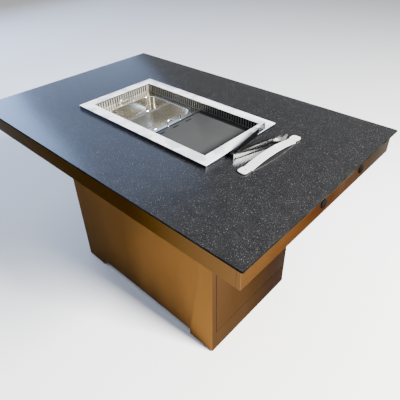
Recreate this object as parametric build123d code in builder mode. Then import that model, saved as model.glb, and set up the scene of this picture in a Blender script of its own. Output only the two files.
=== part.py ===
"""Hot-pot and barbecue table with a down-draught cooking unit, all sizes in millimetres.

A speckled stone slab stands on a bronze steel apron and a pedestal cabinet. A drop-in
unit sits in the slab: a divided pan and a griddle inside a ring of slotted air intakes.
Fumes are drawn down through the well, a filter and a blower, and leave through the base.

Frame: origin on the floor under the middle of the slab, +X along the table towards the
end with the switches and the cabinet door, +Y to the rear, +Z up.
"""
import os
from math import asin, cos, degrees, radians, sin, sqrt

from build123d import *

os.makedirs("parts", exist_ok=True)

# ------------------------------------------------------------------ table and cladding
table_length = 1200.0
table_depth = 780.0
table_height = 720.0
slab_thickness = 12.0
slab_corner_radius = 4.0
slab_edge_chamfer = 1.0
slab_bevel = 7.0  # height of the bevel under the slab's edge, which makes the slab look thin
slab_bevel_width = 10.0

sheet = 1.5  # bronze and stainless cladding sheet
seam = 0.5  # open joint between two sheets
fold_radius = 1.2  # outer radius of a folded edge
contact_gap = 0.3  # air between a lifted or swung piece and what it rests on

apron_inset = 12.0
apron_height = 63.0
apron_return = 12.0  # end apron wrapped round onto the long side
apron_hem = 15.0  # lower hem of the long aprons

rail_size = 30.0
rail_wall = 2.0

# ------------------------------------------------------------------------ drop-in unit
rim_length = 600.0
rim_depth = 330.0
rim_height = 12.0
rim_band_x = 37.0
rim_band_y = 37.0
rim_corner_radius = 2.0
rim_lip = 4.0

ledge_drop = 19.5  # table top down to the ledge that the pan and griddle sit on
ledge_width = 12.0
ledge_bar_depth = 6.0

slot_pitch = 10.5
slot_width = 5.5
slot_height = 24.0
slot_margin = 9.0  # plain metal at each end of a slotted wall

air_gap = 13.0  # between a slotted wall and the tub
tub_wall = 1.2
tub_height = 190.0
tub_flange_gap = 4.0
cutout_clearance = 3.0
cutout_corner_radius = 8.0

split_x = 12.75  # joint between pan and griddle
split_gap = 1.5
drop_gap = 1.2  # pan or griddle to the slotted walls' opening

pan_sheet = 1.2
pan_flange_left = 35.5
pan_flange_right = 18.0
pan_flange_side = 27.0
pan_corner_radius = 34.0
pan_depth = 62.0
pan_draft = 2.0
pan_floor_radius = 12.0
pan_bead = 4.0
pan_bead_height = 1.8
pan_divider_sheet = 1.5
pan_divider_roll = 2.0

handle_span = 64.0
handle_height = 20.0
handle_radius = 2.5
handle_bend = 6.0
handle_inset_left = 17.0
handle_inset_right = 5.0

griddle_border = 3.0
griddle_rise = 4.5
griddle_margin_left = 12.5
griddle_margin_right = 10.0
griddle_margin_side = 29.0
drain_count = 3
drain_length = 27.0
drain_width = 5.0
drain_pitch = 61.0
drain_inset = 15.0  # flat area's left edge to the drain slots
drain_shift = -27.0

# ------------------------------------------------------------ heaters inside the well
cradle_sheet = 2.0
pan_heater_thickness = 12.0
pan_heater_margin = 18.0
griddle_tray_height = 26.0
griddle_tray_drop = 14.0  # griddle's underside down to the heater tray's rim
element_radius = 4.0
element_bends = 6
element_pitch = 28.0
element_length = 150.0
tray_sheet = 1.2
drip_tray_width = 30.0
drip_tray_height = 24.0
tray_gap = 4.0

clamp_width = 24.0
clamp_reach = 26.0
clamp_leg = 36.0
clamp_thickness = 3.0
clamp_spacing = 380.0
clamp_screw_radius = 2.4
clamp_screw_clearance = 0.1
clamp_head_radius = 4.5
clamp_head_height = 3.0

# ----------------------------------------------------------------------------- cabinet
cabinet_length = 740.0
cabinet_depth = 440.0
panel_bottom = 5.0
stile_width = 20.0
foot_width = 110.0
toe_height = 28.0
kick_bottom = 33.0
kick_height = 64.0
header_height = 66.0
door_thickness = 18.0
door_gap = 2.0
pivot_inset = 6.0  # pivot axis in from the door's outer face and from its hinge edge
pivot_radius = 4.0
pivot_length = 12.0
pivot_clearance = 0.06
pivot_plate = 3.0
pivot_plate_size = 18.0

post_size = 25.0
post_wall = 2.0
base_thickness = 2.0
base_rail_height = 25.0
base_rail_width = 30.0
base_rail_wall = 2.0
base_rail_setback = 30.0

glide_radius = 15.0
glide_height = 7.0
glide_stem_radius = 5.0
glide_stem_length = 12.0
glide_clearance = 0.2
glide_inset = 20.0

catch_length = 40.0
catch_width = 15.0
catch_level = 368.0
striker_length = 30.0
striker_width = 18.0
catch_air = 0.5

# ------------------------------------------------------------------------- ventilation
duct_radius = 60.0
duct_wall = 1.0
duct_length = 60.0
duct_flange = 14.0
filter_size = 300.0
filter_height = 220.0
filter_wall = 1.5
cartridge_height = 60.0
cartridge_level = 80.0
cartridge_gap = 1.0
runner_width = 20.0
support_rail_height = 20.0
support_rail_width = 25.0
support_rail_spacing = 240.0
blower_radius = 115.0
blower_height = 116.0
blower_wall = 1.5
blower_neck_radius = 64.0
blower_outlet_width = 100.0
blower_outlet_reach = 140.0
impeller_radius = 92.0
impeller_height = 78.0
impeller_blades = 20
impeller_blade_sheet = 2.0
impeller_blade_width = 26.0
impeller_blade_angle = 30.0
impeller_gap = 6.0
shaft_radius = 6.0
shaft_socket = 8.0  # depth of the shaft's socket in the motor
motor_radius = 50.0
elbow_radius = 50.0
elbow_bend = 60.0
elbow_run = 50.0
elbow_wall = 1.0
elbow_clearance = 0.5

# -------------------------------------------------------------------------- electrical
control_depth = 80.0
control_width = 180.0
control_height = 240.0
control_level = 380.0
control_wall = 1.5
gland_radius = 10.0
gland_bore = 6.0
gland_nut_radius = 14.0
gland_end_distance = 70.0
gland_front_distance = 82.0

switch_drop = 32.0  # slab's underside down to the switches
pan_switch_y = -36.0
griddle_switch_inset = 201.0  # griddle's switch in from the end apron's rear edge
bezel_radius = 13.0
bezel_proud = 2.5
barrel_radius = 12.5
barrel_length = 10.0
barrel_clearance = 0.2
locknut_radius = 17.0
locknut_height = 5.0
module_width = 70.0
module_depth = 50.0
module_height = 61.0
module_peep = 3.0  # module's bottom below the apron's edge
module_shift = 27.0
button_radius = 11.0
button_length = 9.0
button_recess = 0.6
button_travel = 3.0
button_clearance = 0.3

# ------------------------------------------------------------- tongs and pan lifter
tongs_pivot_offset = 19.0  # pivot out from the rim's +X edge
tongs_pivot_y = -76.0
tongs_arm_length = 140.0
tongs_height = 17.0
tongs_sheet = 1.0
tongs_flange = 4.0
tongs_lap = 0.3  # air between the spoon arm's lugs and the slotted arm's
tongs_hub_radius = 7.0
tongs_pin_radius = 2.0
tongs_pin_clearance = 0.06
tongs_rivet_radius = 3.2
tongs_rivet_head = 1.0
slotted_heading = 94.5  # degrees from +X
slotted_head_length = 46.0
slotted_head_height = 24.0
slotted_head_slots = 3
slotted_head_slot_length = 30.0
slotted_head_slot_middle = 25.0  # middle of the slots from the head's base
slotted_head_slot_width = 2.6
slotted_head_slot_pitch = 5.6
spoon_heading = 75.5
spoon_head_length = 58.0
spoon_head_height = 29.0
spoon_sphere_radius = 80.0

lifter_offset = 88.0  # lifter's middle out from the rim's +X edge
lifter_y = 13.0
lifter_turn = 1.9
lifter_length = 269.0
lifter_width = 28.0
lifter_sheet = 2.0
lifter_arch = 10.0
lifter_ear = 28.0
lifter_joggle = 3.0
lifter_joggle_run = 5.0
lifter_neck = 3.0
lifter_hole_radius = 2.6
lifter_hole_inset = 21.0
lifter_tip_chamfer = 6.0

# ------------------------------------------------------------------------ worked values
slab_under = table_height - slab_thickness
apron_x = table_length / 2 - apron_inset
apron_y = table_depth / 2 - apron_inset
apron_bottom = slab_under - apron_height
rail_bottom = slab_under - rail_size
griddle_switch_y = apron_y - griddle_switch_inset

opening_length = rim_length - 2 * rim_band_x
opening_depth = rim_depth - 2 * rim_band_y
wall_x = opening_length / 2 + sheet  # inner face of the slotted walls, behind the lip
wall_y = opening_depth / 2 + sheet
tub_x = wall_x + sheet + air_gap + tub_wall
tub_y = wall_y + sheet + air_gap + tub_wall
tub_bottom = table_height - tub_height
rim_under = table_height + rim_height - sheet
ledge_top = table_height - ledge_drop

pan_left = -opening_length / 2 + drop_gap
pan_right = split_x - split_gap / 2
pan_width = opening_depth - 2 * drop_gap
pan_top = ledge_top + pan_sheet
pan_rim = pan_top + pan_bead_height
basin_left = pan_left + pan_flange_left
basin_right = pan_right - pan_flange_right
basin_length = basin_right - basin_left
basin_width = pan_width - 2 * pan_flange_side
basin_x = (basin_left + basin_right) / 2
basin_floor = pan_rim - pan_depth
basin_under = basin_floor - pan_sheet

griddle_left = split_x + split_gap / 2
griddle_right = opening_length / 2 - drop_gap
griddle_top = ledge_top + griddle_border + griddle_rise
flat_left = griddle_left + griddle_margin_left
flat_right = griddle_right - griddle_margin_right
flat_width = pan_width - 2 * griddle_margin_side
drain_x = flat_left + drain_inset

cabinet_x = cabinet_length / 2
gland_x = gland_end_distance - cabinet_length / 2
gland_y = gland_front_distance - cabinet_depth / 2
cabinet_y = cabinet_depth / 2
post_x = cabinet_x - door_thickness - door_gap - post_size / 2
post_y = cabinet_y - sheet - post_size / 2
base_under = glide_height + base_rail_height
base_top = base_under + base_thickness


def finish(builder: BuildPart, name: str) -> None:
    """Label a finished piece and write its STEP file."""
    builder.part.label = name
    export_step(builder.part, f"parts/{name}.step")


# ================================================================= slab, frame and apron
with BuildPart() as stone_top:
    underside_length = table_length - 2 * slab_bevel_width
    underside_depth = table_depth - 2 * slab_bevel_width
    with BuildSketch(Plane.XY.offset(slab_under)):
        RectangleRounded(underside_length, underside_depth, slab_corner_radius)
    with BuildSketch(Plane.XY.offset(slab_under + slab_bevel)):
        RectangleRounded(table_length, table_depth, slab_corner_radius)
    loft(ruled=True)
    with BuildSketch(Plane.XY.offset(slab_under + slab_bevel)):
        RectangleRounded(table_length, table_depth, slab_corner_radius)
    extrude(amount=slab_thickness - slab_bevel)
    top_face = stone_top.faces().sort_by(Axis.Z)[-1]
    chamfer(top_face.outer_wire().edges(), length=slab_edge_chamfer)
    with BuildSketch(Plane.XY.offset(slab_under)):
        cutout_length = 2 * (tub_x + cutout_clearance)
        cutout_depth = 2 * (tub_y + cutout_clearance)
        RectangleRounded(cutout_length, cutout_depth, cutout_corner_radius)
    extrude(amount=slab_thickness, mode=Mode.SUBTRACT)
finish(stone_top, "stone_top")

long_rail_length = 2 * (apron_x - sheet)
rail_y = apron_y - sheet - rail_size / 2
with BuildPart() as long_rails:
    with BuildSketch(Plane.YZ.offset(-long_rail_length / 2)):
        with Locations((-rail_y, rail_bottom + rail_size / 2), (rail_y, rail_bottom + rail_size / 2)):
            Rectangle(rail_size, rail_size)
            Rectangle(rail_size - 2 * rail_wall, rail_size - 2 * rail_wall, mode=Mode.SUBTRACT)
    extrude(amount=long_rail_length)
finish(long_rails, "long_rails")

end_rail_length = 2 * (rail_y - rail_size / 2)
module_face = apron_x - sheet - barrel_length
end_rail_x = module_face - module_depth - rail_size / 2  # behind the switch modules
with BuildPart() as end_rails:
    with BuildSketch(Plane.XZ.offset(-end_rail_length / 2)):
        with Locations((-end_rail_x, rail_bottom + rail_size / 2), (end_rail_x, rail_bottom + rail_size / 2)):
            Rectangle(rail_size, rail_size)
            Rectangle(rail_size - 2 * rail_wall, rail_size - 2 * rail_wall, mode=Mode.SUBTRACT)
    extrude(amount=end_rail_length)
finish(end_rails, "end_rails")

with BuildPart() as cross_rails:
    with BuildSketch(Plane.XZ.offset(-end_rail_length / 2)):
        with Locations((-post_x, rail_bottom + rail_size / 2), (post_x, rail_bottom + rail_size / 2)):
            Rectangle(rail_size, rail_size)
            Rectangle(rail_size - 2 * rail_wall, rail_size - 2 * rail_wall, mode=Mode.SUBTRACT)
    extrude(amount=end_rail_length)
finish(cross_rails, "cross_rails")

long_apron_length = 2 * (apron_x - apron_return - seam)
for side, name in ((-1, "apron_front"), (1, "apron_rear")):
    with BuildPart() as long_apron:
        with BuildSketch(Plane.XY.offset(apron_bottom)):
            with Locations((0, side * (apron_y - sheet / 2))):
                Rectangle(long_apron_length, sheet)
        extrude(amount=apron_height)
        with BuildSketch(Plane.XY.offset(apron_bottom)):
            with Locations((0, side * (apron_y - apron_hem / 2))):
                Rectangle(long_apron_length, apron_hem)
        extrude(amount=sheet)
        hem_edge = long_apron.edges().filter_by(Axis.X).group_by(Axis.Z)[0].sort_by(Axis.Y)
        fillet(hem_edge[0 if side < 0 else -1], fold_radius)
    finish(long_apron, name)

switch_z = slab_under - switch_drop
for side, name in ((-1, "apron_left"), (1, "apron_right")):
    with BuildPart() as end_apron:
        with BuildSketch(Plane.XY.offset(apron_bottom)):
            with Locations((side * (apron_x - sheet / 2), 0)):
                Rectangle(sheet, 2 * apron_y)
            for edge in (-1, 1):
                with Locations((side * (apron_x - apron_return / 2), edge * (apron_y - sheet / 2))):
                    Rectangle(apron_return, sheet)
        extrude(amount=apron_height)
        folds = end_apron.edges().filter_by(Axis.Z).group_by(Axis.X)[0 if side < 0 else -1]
        fillet(folds, fold_radius)
        if side > 0:
            with BuildSketch(Plane.YZ.offset(apron_x - sheet)):
                with Locations((pan_switch_y, switch_z), (griddle_switch_y, switch_z)):
                    Circle(barrel_radius + barrel_clearance)
            extrude(amount=sheet, mode=Mode.SUBTRACT)
    finish(end_apron, name)

# ======================================================================= unit: rim and tub
with BuildPart() as rim_frame:
    with BuildSketch(Plane.XY.offset(table_height)):
        RectangleRounded(rim_length, rim_depth, rim_corner_radius)
        Rectangle(opening_length, opening_depth, mode=Mode.SUBTRACT)
    extrude(amount=rim_height)
    rim_top = rim_frame.faces().sort_by(Axis.Z)[-1]
    fillet(rim_top.outer_wire().edges(), fold_radius)
    with BuildSketch(Plane.XY.offset(table_height)):
        Rectangle(rim_length - 2 * sheet, rim_depth - 2 * sheet)
        Rectangle(2 * wall_x, 2 * wall_y, mode=Mode.SUBTRACT)
    extrude(amount=rim_height - sheet, mode=Mode.SUBTRACT)
    with BuildSketch(Plane.XY.offset(table_height)):
        Rectangle(2 * wall_x, 2 * wall_y)
        Rectangle(opening_length, opening_depth, mode=Mode.SUBTRACT)
    extrude(amount=rim_height - rim_lip, mode=Mode.SUBTRACT)
finish(rim_frame, "rim_frame")

wall_height = rim_under - ledge_top
slot_z = ledge_top + wall_height / 2
long_slots = int((2 * wall_x - 2 * slot_margin) / slot_pitch)
for side, name in ((-1, "grille_front"), (1, "grille_rear")):
    with BuildPart() as long_grille:
        with BuildSketch(Plane.XZ.offset(-side * wall_y)):
            with Locations((0, slot_z)):
                Rectangle(2 * (wall_x + sheet), wall_height)
                with GridLocations(slot_pitch, 1, long_slots, 1):
                    Rectangle(slot_width, slot_height, mode=Mode.SUBTRACT)
        extrude(amount=-side * sheet)
    finish(long_grille, name)

short_slots = int((2 * wall_y - 2 * slot_margin) / slot_pitch)
for side, name in ((-1, "grille_left"), (1, "grille_right")):
    with BuildPart() as short_grille:
        with BuildSketch(Plane.YZ.offset(side * wall_x)):
            with Locations((0, slot_z)):
                Rectangle(2 * wall_y, wall_height)
                with GridLocations(slot_pitch, 1, short_slots, 1):
                    Rectangle(slot_width, slot_height, mode=Mode.SUBTRACT)
        extrude(amount=side * sheet)
    finish(short_grille, name)

with BuildPart() as ledge_frame:
    with BuildSketch(Plane.XY.offset(ledge_top - sheet)):
        Rectangle(2 * (wall_x + sheet), 2 * (wall_y + sheet))
        Rectangle(opening_length - 2 * ledge_width, opening_depth - 2 * ledge_width, mode=Mode.SUBTRACT)
        with Locations((split_x, 0)):
            Rectangle(2 * ledge_width, opening_depth)
    extrude(amount=sheet)
    with BuildSketch(Plane.XY.offset(ledge_top - sheet)):
        with Locations((split_x, 0)):
            Rectangle(2 * ledge_width, 2 * (tub_y - tub_wall))
    extrude(amount=-ledge_bar_depth)
finish(ledge_frame, "ledge_frame")

duct_hole_radius = duct_radius - duct_wall
with BuildPart() as well_tub:
    with BuildSketch(Plane.XY.offset(tub_bottom)):
        Rectangle(2 * tub_x, 2 * tub_y)
    extrude(amount=tub_height)
    with BuildSketch(Plane.XY.offset(tub_bottom + tub_wall)):
        Rectangle(2 * (tub_x - tub_wall), 2 * (tub_y - tub_wall))
    extrude(amount=tub_height, mode=Mode.SUBTRACT)
    flange_x = rim_length / 2 - sheet - tub_flange_gap
    flange_y = rim_depth / 2 - sheet - tub_flange_gap
    with BuildSketch(Plane.XY.offset(table_height)):
        Rectangle(2 * flange_x, 2 * flange_y)
        Rectangle(2 * (tub_x - tub_wall), 2 * (tub_y - tub_wall), mode=Mode.SUBTRACT)
    extrude(amount=tub_wall)
    with BuildSketch(Plane.XY.offset(tub_bottom)):
        Circle(duct_hole_radius)
    extrude(amount=tub_wall, mode=Mode.SUBTRACT)
finish(well_tub, "well_tub")

bracket_width = 2 * ledge_width
with BuildPart() as ledge_brackets:
    with BuildSketch(Plane.XY.offset(ledge_top - sheet)):
        bracket_reach_y = tub_y - tub_wall - opening_depth / 2 + ledge_width
        for side in (-1, 1):
            bracket_y = side * (tub_y - tub_wall - bracket_reach_y / 2)
            with Locations((-wall_x / 2, bracket_y), (wall_x / 2, bracket_y)):
                Rectangle(bracket_width, bracket_reach_y)
        bracket_reach_x = tub_x - tub_wall - opening_length / 2 + ledge_width
        for side in (-1, 1):
            with Locations((side * (tub_x - tub_wall - bracket_reach_x / 2), 0)):
                Rectangle(bracket_reach_x, bracket_width)
    extrude(amount=-2 * sheet)
finish(ledge_brackets, "ledge_brackets")

clamp_places = [(x, side) for side in (-1, 1) for x in (-clamp_spacing / 2, clamp_spacing / 2)]
clamp_screw_y = tub_y + clamp_reach - 2 * clamp_head_radius
with BuildPart() as tub_clamps:
    for x, side in clamp_places:
        with BuildSketch(Plane.XY.offset(slab_under)):
            with Locations((x, side * (tub_y + clamp_reach / 2))):
                Rectangle(clamp_width, clamp_reach)
            with Locations((x, side * clamp_screw_y)):
                Circle(clamp_screw_radius + clamp_screw_clearance, mode=Mode.SUBTRACT)
        extrude(amount=-clamp_thickness)
        with BuildSketch(Plane.XY.offset(slab_under)):
            with Locations((x, side * (tub_y + clamp_thickness / 2))):
                Rectangle(clamp_width, clamp_thickness)
        extrude(amount=-clamp_leg)
finish(tub_clamps, "tub_clamps")

with BuildPart() as clamp_screws:
    for x, side in clamp_places:
        with BuildSketch(Plane.XY.offset(slab_under)):
            with Locations((x, side * clamp_screw_y)):
                Circle(clamp_screw_radius)
        extrude(amount=-clamp_thickness)
        with BuildSketch(Plane.XY.offset(slab_under - clamp_thickness)):
            with Locations((x, side * clamp_screw_y)):
                RegularPolygon(clamp_head_radius, 6)
        extrude(amount=-clamp_head_height)
finish(clamp_screws, "clamp_screws")

# =========================================================================== divided pan
with BuildPart() as basin_void:
    with BuildSketch(Plane.XY.offset(pan_rim)):
        with Locations((basin_x, 0)):
            RectangleRounded(basin_length, basin_width, pan_corner_radius)
    extrude(amount=-pan_depth, taper=pan_draft)
    fillet(basin_void.faces().sort_by(Axis.Z)[0].edges(), pan_floor_radius)

with BuildPart() as pan_basin:
    with BuildSketch(Plane.XY.offset(ledge_top)):
        with Locations(((pan_left + pan_right) / 2, 0)):
            RectangleRounded(pan_right - pan_left, pan_width, pan_bead)
    extrude(amount=pan_sheet)
    with BuildSketch(Plane.XY.offset(pan_top)):
        with Locations((basin_x, 0)):
            bead_radius = pan_corner_radius + pan_bead
            RectangleRounded(basin_length + 2 * pan_bead, basin_width + 2 * pan_bead, bead_radius)
    extrude(amount=pan_bead_height)
    bead_edges = pan_basin.faces().sort_by(Axis.Z)[-1].edges()
    fillet(bead_edges, pan_bead_height * 0.8)
    with BuildSketch(Plane.XY.offset(pan_top)):
        with Locations((basin_x, 0)):
            wall_radius = pan_corner_radius + pan_sheet
            RectangleRounded(basin_length + 2 * pan_sheet, basin_width + 2 * pan_sheet, wall_radius)
    extrude(amount=-(pan_top - basin_under), taper=pan_draft)
    outer_floor = pan_basin.faces().sort_by(Axis.Z)[0].edges()
    fillet(outer_floor, pan_floor_radius + pan_sheet)
    add(basin_void.part, mode=Mode.SUBTRACT)
finish(pan_basin, "pan_basin")

with BuildPart() as pan_divider:
    with BuildSketch(Plane.XY.offset(basin_floor)):
        with Locations((basin_x, 0)):
            Rectangle(pan_divider_sheet, 2 * basin_width)
    extrude(amount=pan_depth - pan_divider_roll)
    with BuildSketch(Plane.XZ.offset(-basin_width)):
        with Locations((basin_x, pan_rim - pan_divider_roll)):
            Circle(pan_divider_roll)
    extrude(amount=2 * basin_width)
    add(basin_void.part, mode=Mode.INTERSECT)
finish(pan_divider, "pan_divider")

handle_places = (pan_left + handle_inset_left, pan_right - handle_inset_right)
with BuildPart() as pan_handles:
    for handle_x in handle_places:
        bar_z = pan_top + handle_height - handle_radius
        leg_y = handle_span / 2 - handle_radius
        with BuildLine() as handle_path:
            FilletPolyline(
                (handle_x, -leg_y, pan_top), (handle_x, -leg_y, bar_z),
                (handle_x, leg_y, bar_z), (handle_x, leg_y, pan_top), radius=handle_bend,
            )
        with BuildSketch(Plane(origin=(handle_x, -leg_y, pan_top), z_dir=(0, 0, 1))):
            Circle(handle_radius)
        sweep(path=handle_path.wires()[0])
finish(pan_handles, "pan_handles")

# ========================================================================= griddle plate
with BuildPart() as griddle_plate:
    with BuildSketch(Plane.XY.offset(ledge_top)):
        with Locations(((griddle_left + griddle_right) / 2, 0)):
            RectangleRounded(griddle_right - griddle_left, pan_width, pan_bead)
    extrude(amount=griddle_border)
    with BuildSketch(Plane.XY.offset(ledge_top + griddle_border)):
        with Locations(((griddle_left + griddle_right) / 2, 0)):
            Rectangle(griddle_right - griddle_left - 2 * pan_bead, pan_width - 2 * pan_bead)
    with BuildSketch(Plane.XY.offset(griddle_top)):
        with Locations(((flat_left + flat_right) / 2, 0)):
            Rectangle(flat_right - flat_left, flat_width)
    loft()
    with BuildSketch(Plane.XY.offset(ledge_top)):
        with Locations((drain_x, drain_shift)):
            with GridLocations(1, drain_pitch, 1, drain_count):
                SlotOverall(drain_length, drain_width, rotation=90)
    extrude(amount=griddle_border + griddle_rise, mode=Mode.SUBTRACT)
finish(griddle_plate, "griddle_plate")

# ================================================================ heaters inside the well
tub_floor = tub_bottom + tub_wall
pan_heater_top = basin_under - contact_gap
pan_cradle_top = pan_heater_top - pan_heater_thickness
heater_length = basin_length - 2 * pan_heater_margin
heater_width = basin_width - 2 * pan_heater_margin
with BuildPart() as pan_heater:
    with BuildSketch(Plane.XY.offset(pan_cradle_top)):
        with Locations((basin_x, 0)):
            RectangleRounded(heater_length, heater_width, pan_corner_radius / 2)
    extrude(amount=pan_heater_thickness)
finish(pan_heater, "pan_heater")

tray_rim = ledge_top - griddle_tray_drop
tray_bottom = tray_rim - griddle_tray_height
drip_left = drain_x - drip_tray_width / 2
tray_left = drip_left + drip_tray_width + tray_gap
tray_right = griddle_right - ledge_width - tray_gap
tray_width = pan_width - 2 * (ledge_width + tray_gap)
cradles = (
    (basin_x - heater_length / 2, basin_x + heater_length / 2, heater_width, pan_cradle_top),
    (drip_left, tray_right, tray_width, tray_bottom),
)
with BuildPart() as heater_cradles:
    for left, right, width, top in cradles:
        with BuildSketch(Plane.XY.offset(top)):
            with Locations(((left + right) / 2, 0)):
                Rectangle(right - left, width)
        extrude(amount=-cradle_sheet)
        with BuildSketch(Plane.XY.offset(tub_floor)):
            for side in (-1, 1):
                with Locations(((left + right) / 2, side * (width - cradle_sheet) / 2)):
                    Rectangle(right - left, cradle_sheet)
        extrude(amount=top - tub_floor)
finish(heater_cradles, "heater_cradles")

with BuildPart() as griddle_heater_tray:
    with BuildSketch(Plane.XY.offset(tray_bottom)):
        with Locations(((tray_left + tray_right) / 2, 0)):
            Rectangle(tray_right - tray_left, tray_width)
    extrude(amount=griddle_tray_height)
    with BuildSketch(Plane.XY.offset(tray_bottom + tray_sheet)):
        with Locations(((tray_left + tray_right) / 2, 0)):
            Rectangle(tray_right - tray_left - 2 * tray_sheet, tray_width - 2 * tray_sheet)
    extrude(amount=griddle_tray_height, mode=Mode.SUBTRACT)
finish(griddle_heater_tray, "griddle_heater_tray")

element_z = ledge_top - contact_gap - element_radius
element_x = (tray_left + tray_right) / 2
element_points = []
for row in range(element_bends):
    row_y = (row - (element_bends - 1) / 2) * element_pitch
    ends = (-element_length / 2, element_length / 2)
    for end in ends if row % 2 == 0 else reversed(ends):
        element_points.append((element_x + end, row_y, element_z))
first, last = element_points[0], element_points[-1]
element_foot = tray_bottom + tray_sheet
element_points.insert(0, (first[0], first[1], element_foot))
element_points.append((last[0], last[1], element_foot))
with BuildPart() as griddle_heater:
    with BuildLine() as element_path:
        FilletPolyline(*element_points, radius=3 * element_radius)
    with BuildSketch(Plane(origin=element_points[0], z_dir=(0, 0, 1))):
        Circle(element_radius)
    sweep(path=element_path.wires()[0])
finish(griddle_heater, "griddle_heater")

with BuildPart() as drip_tray:
    with BuildSketch(Plane.XY.offset(tray_bottom)):
        with Locations((drain_x, 0)):
            Rectangle(drip_tray_width, tray_width)
    extrude(amount=drip_tray_height)
    with BuildSketch(Plane.XY.offset(tray_bottom + tray_sheet)):
        with Locations((drain_x, 0)):
            Rectangle(drip_tray_width - 2 * tray_sheet, tray_width - 2 * tray_sheet)
    extrude(amount=drip_tray_height, mode=Mode.SUBTRACT)
finish(drip_tray, "drip_tray")

# =============================================================================== cabinet
panel_height = rail_bottom - panel_bottom
with BuildPart() as cabinet_front:
    with BuildSketch(Plane.XY.offset(panel_bottom)):
        with Locations((0, -cabinet_y + sheet / 2)):
            Rectangle(cabinet_length, sheet)
        for side in (-1, 1):
            with Locations((side * (cabinet_x - sheet / 2), -cabinet_y + stile_width / 2)):
                Rectangle(sheet, stile_width)
    extrude(amount=panel_height)
    corner_edges = cabinet_front.edges().filter_by(Axis.Z).group_by(Axis.Y)[0]
    fillet(corner_edges, fold_radius)
    with BuildSketch(Plane.XY.offset(panel_bottom)):
        with Locations((0, -cabinet_y + sheet / 2)):
            Rectangle(cabinet_length - 2 * foot_width, sheet)
    extrude(amount=toe_height, mode=Mode.SUBTRACT)
finish(cabinet_front, "cabinet_front")

with BuildPart() as cabinet_rear:
    with BuildSketch(Plane.XY.offset(panel_bottom)):
        with Locations((0, cabinet_y - sheet / 2)):
            Rectangle(cabinet_length, sheet)
        with Locations((-cabinet_x + sheet / 2, cabinet_y - stile_width / 2)):
            Rectangle(sheet, stile_width)
    extrude(amount=panel_height)
    corner_edges = cabinet_rear.edges().filter_by(Axis.Z).group_by(Axis.Y)[-1].sort_by(Axis.X)[0]
    fillet(corner_edges, fold_radius)
    with BuildSketch(Plane.XY.offset(panel_bottom)):
        with Locations((0, cabinet_y - sheet / 2)):
            Rectangle(cabinet_length - 2 * foot_width, sheet)
    extrude(amount=toe_height, mode=Mode.SUBTRACT)
finish(cabinet_rear, "cabinet_rear")

with BuildPart() as cabinet_left:
    with BuildSketch(Plane.XY.offset(panel_bottom)):
        with Locations((-cabinet_x + sheet / 2, 0)):
            Rectangle(sheet, cabinet_depth - 2 * (stile_width + seam))
    extrude(amount=panel_height)
finish(cabinet_left, "cabinet_left")

# The +X end between the near stile and the rear panel: plinth, kick panel, door, header.
end_near = -cabinet_y + stile_width + seam
end_far = cabinet_y - sheet
door_bottom = kick_bottom + kick_height + door_gap
door_top = rail_bottom - header_height - door_gap
end_panels = (
    ("plinth_panel", panel_bottom, kick_bottom - seam),
    ("kick_panel", kick_bottom, kick_bottom + kick_height),
    ("header_panel", door_top + door_gap, rail_bottom),
)
for name, low, high in end_panels:
    with BuildPart() as end_panel:
        with BuildSketch(Plane.XY.offset(low)):
            with Locations((cabinet_x - sheet / 2, (end_near + end_far) / 2)):
                Rectangle(sheet, end_far - end_near)
        extrude(amount=high - low)
    finish(end_panel, name)

with BuildPart() as corner_posts:
    with BuildSketch(Plane.XY.offset(base_top)):
        with GridLocations(2 * post_x, 2 * post_y, 2, 2):
            Rectangle(post_size, post_size)
            Rectangle(post_size - 2 * post_wall, post_size - 2 * post_wall, mode=Mode.SUBTRACT)
    extrude(amount=rail_bottom - base_top)
finish(corner_posts, "corner_posts")

outlet_y = blower_radius - blower_outlet_width / 2
outlet_x = -(blower_outlet_reach + elbow_run + elbow_bend)
with BuildPart() as base_plate:
    with BuildSketch(Plane.XY.offset(base_under)):
        Rectangle(cabinet_length - 2 * sheet, cabinet_depth - 2 * sheet)
        with Locations((outlet_x, outlet_y)):
            Circle(elbow_radius + elbow_clearance, mode=Mode.SUBTRACT)
        with Locations((gland_x, gland_y)):
            Circle(gland_radius, mode=Mode.SUBTRACT)
    extrude(amount=base_thickness)
finish(base_plate, "base_plate")

base_rail_x = cabinet_x - sheet - base_rail_width / 2
base_rail_y = cabinet_y - sheet - base_rail_setback - base_rail_width / 2
glide_y = cabinet_y - glide_inset
hollow_width = base_rail_width - 2 * base_rail_wall
hollow_height = base_rail_height - 2 * base_rail_wall
with BuildPart() as base_rails:
    with BuildSketch(Plane.XZ.offset(-(cabinet_y - sheet))):
        with Locations((-base_rail_x, glide_height + base_rail_height / 2)):
            Rectangle(base_rail_width, base_rail_height)
            Rectangle(hollow_width, hollow_height, mode=Mode.SUBTRACT)
        with Locations((base_rail_x, glide_height + base_rail_height / 2)):
            Rectangle(base_rail_width, base_rail_height)
            Rectangle(hollow_width, hollow_height, mode=Mode.SUBTRACT)
    extrude(amount=2 * (cabinet_y - sheet))
    with BuildSketch(Plane.YZ.offset(-(base_rail_x - base_rail_width / 2))):
        for side in (-1, 1):
            with Locations((side * base_rail_y, glide_height + base_rail_height / 2)):
                Rectangle(base_rail_width, base_rail_height)
                Rectangle(hollow_width, hollow_height, mode=Mode.SUBTRACT)
    extrude(amount=2 * (base_rail_x - base_rail_width / 2))
    with BuildSketch(Plane.XY.offset(glide_height)):
        with GridLocations(2 * base_rail_x, 2 * glide_y, 2, 2):
            Circle(glide_stem_radius + glide_clearance)
    extrude(amount=base_rail_wall, mode=Mode.SUBTRACT)
finish(base_rails, "base_rails")

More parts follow.
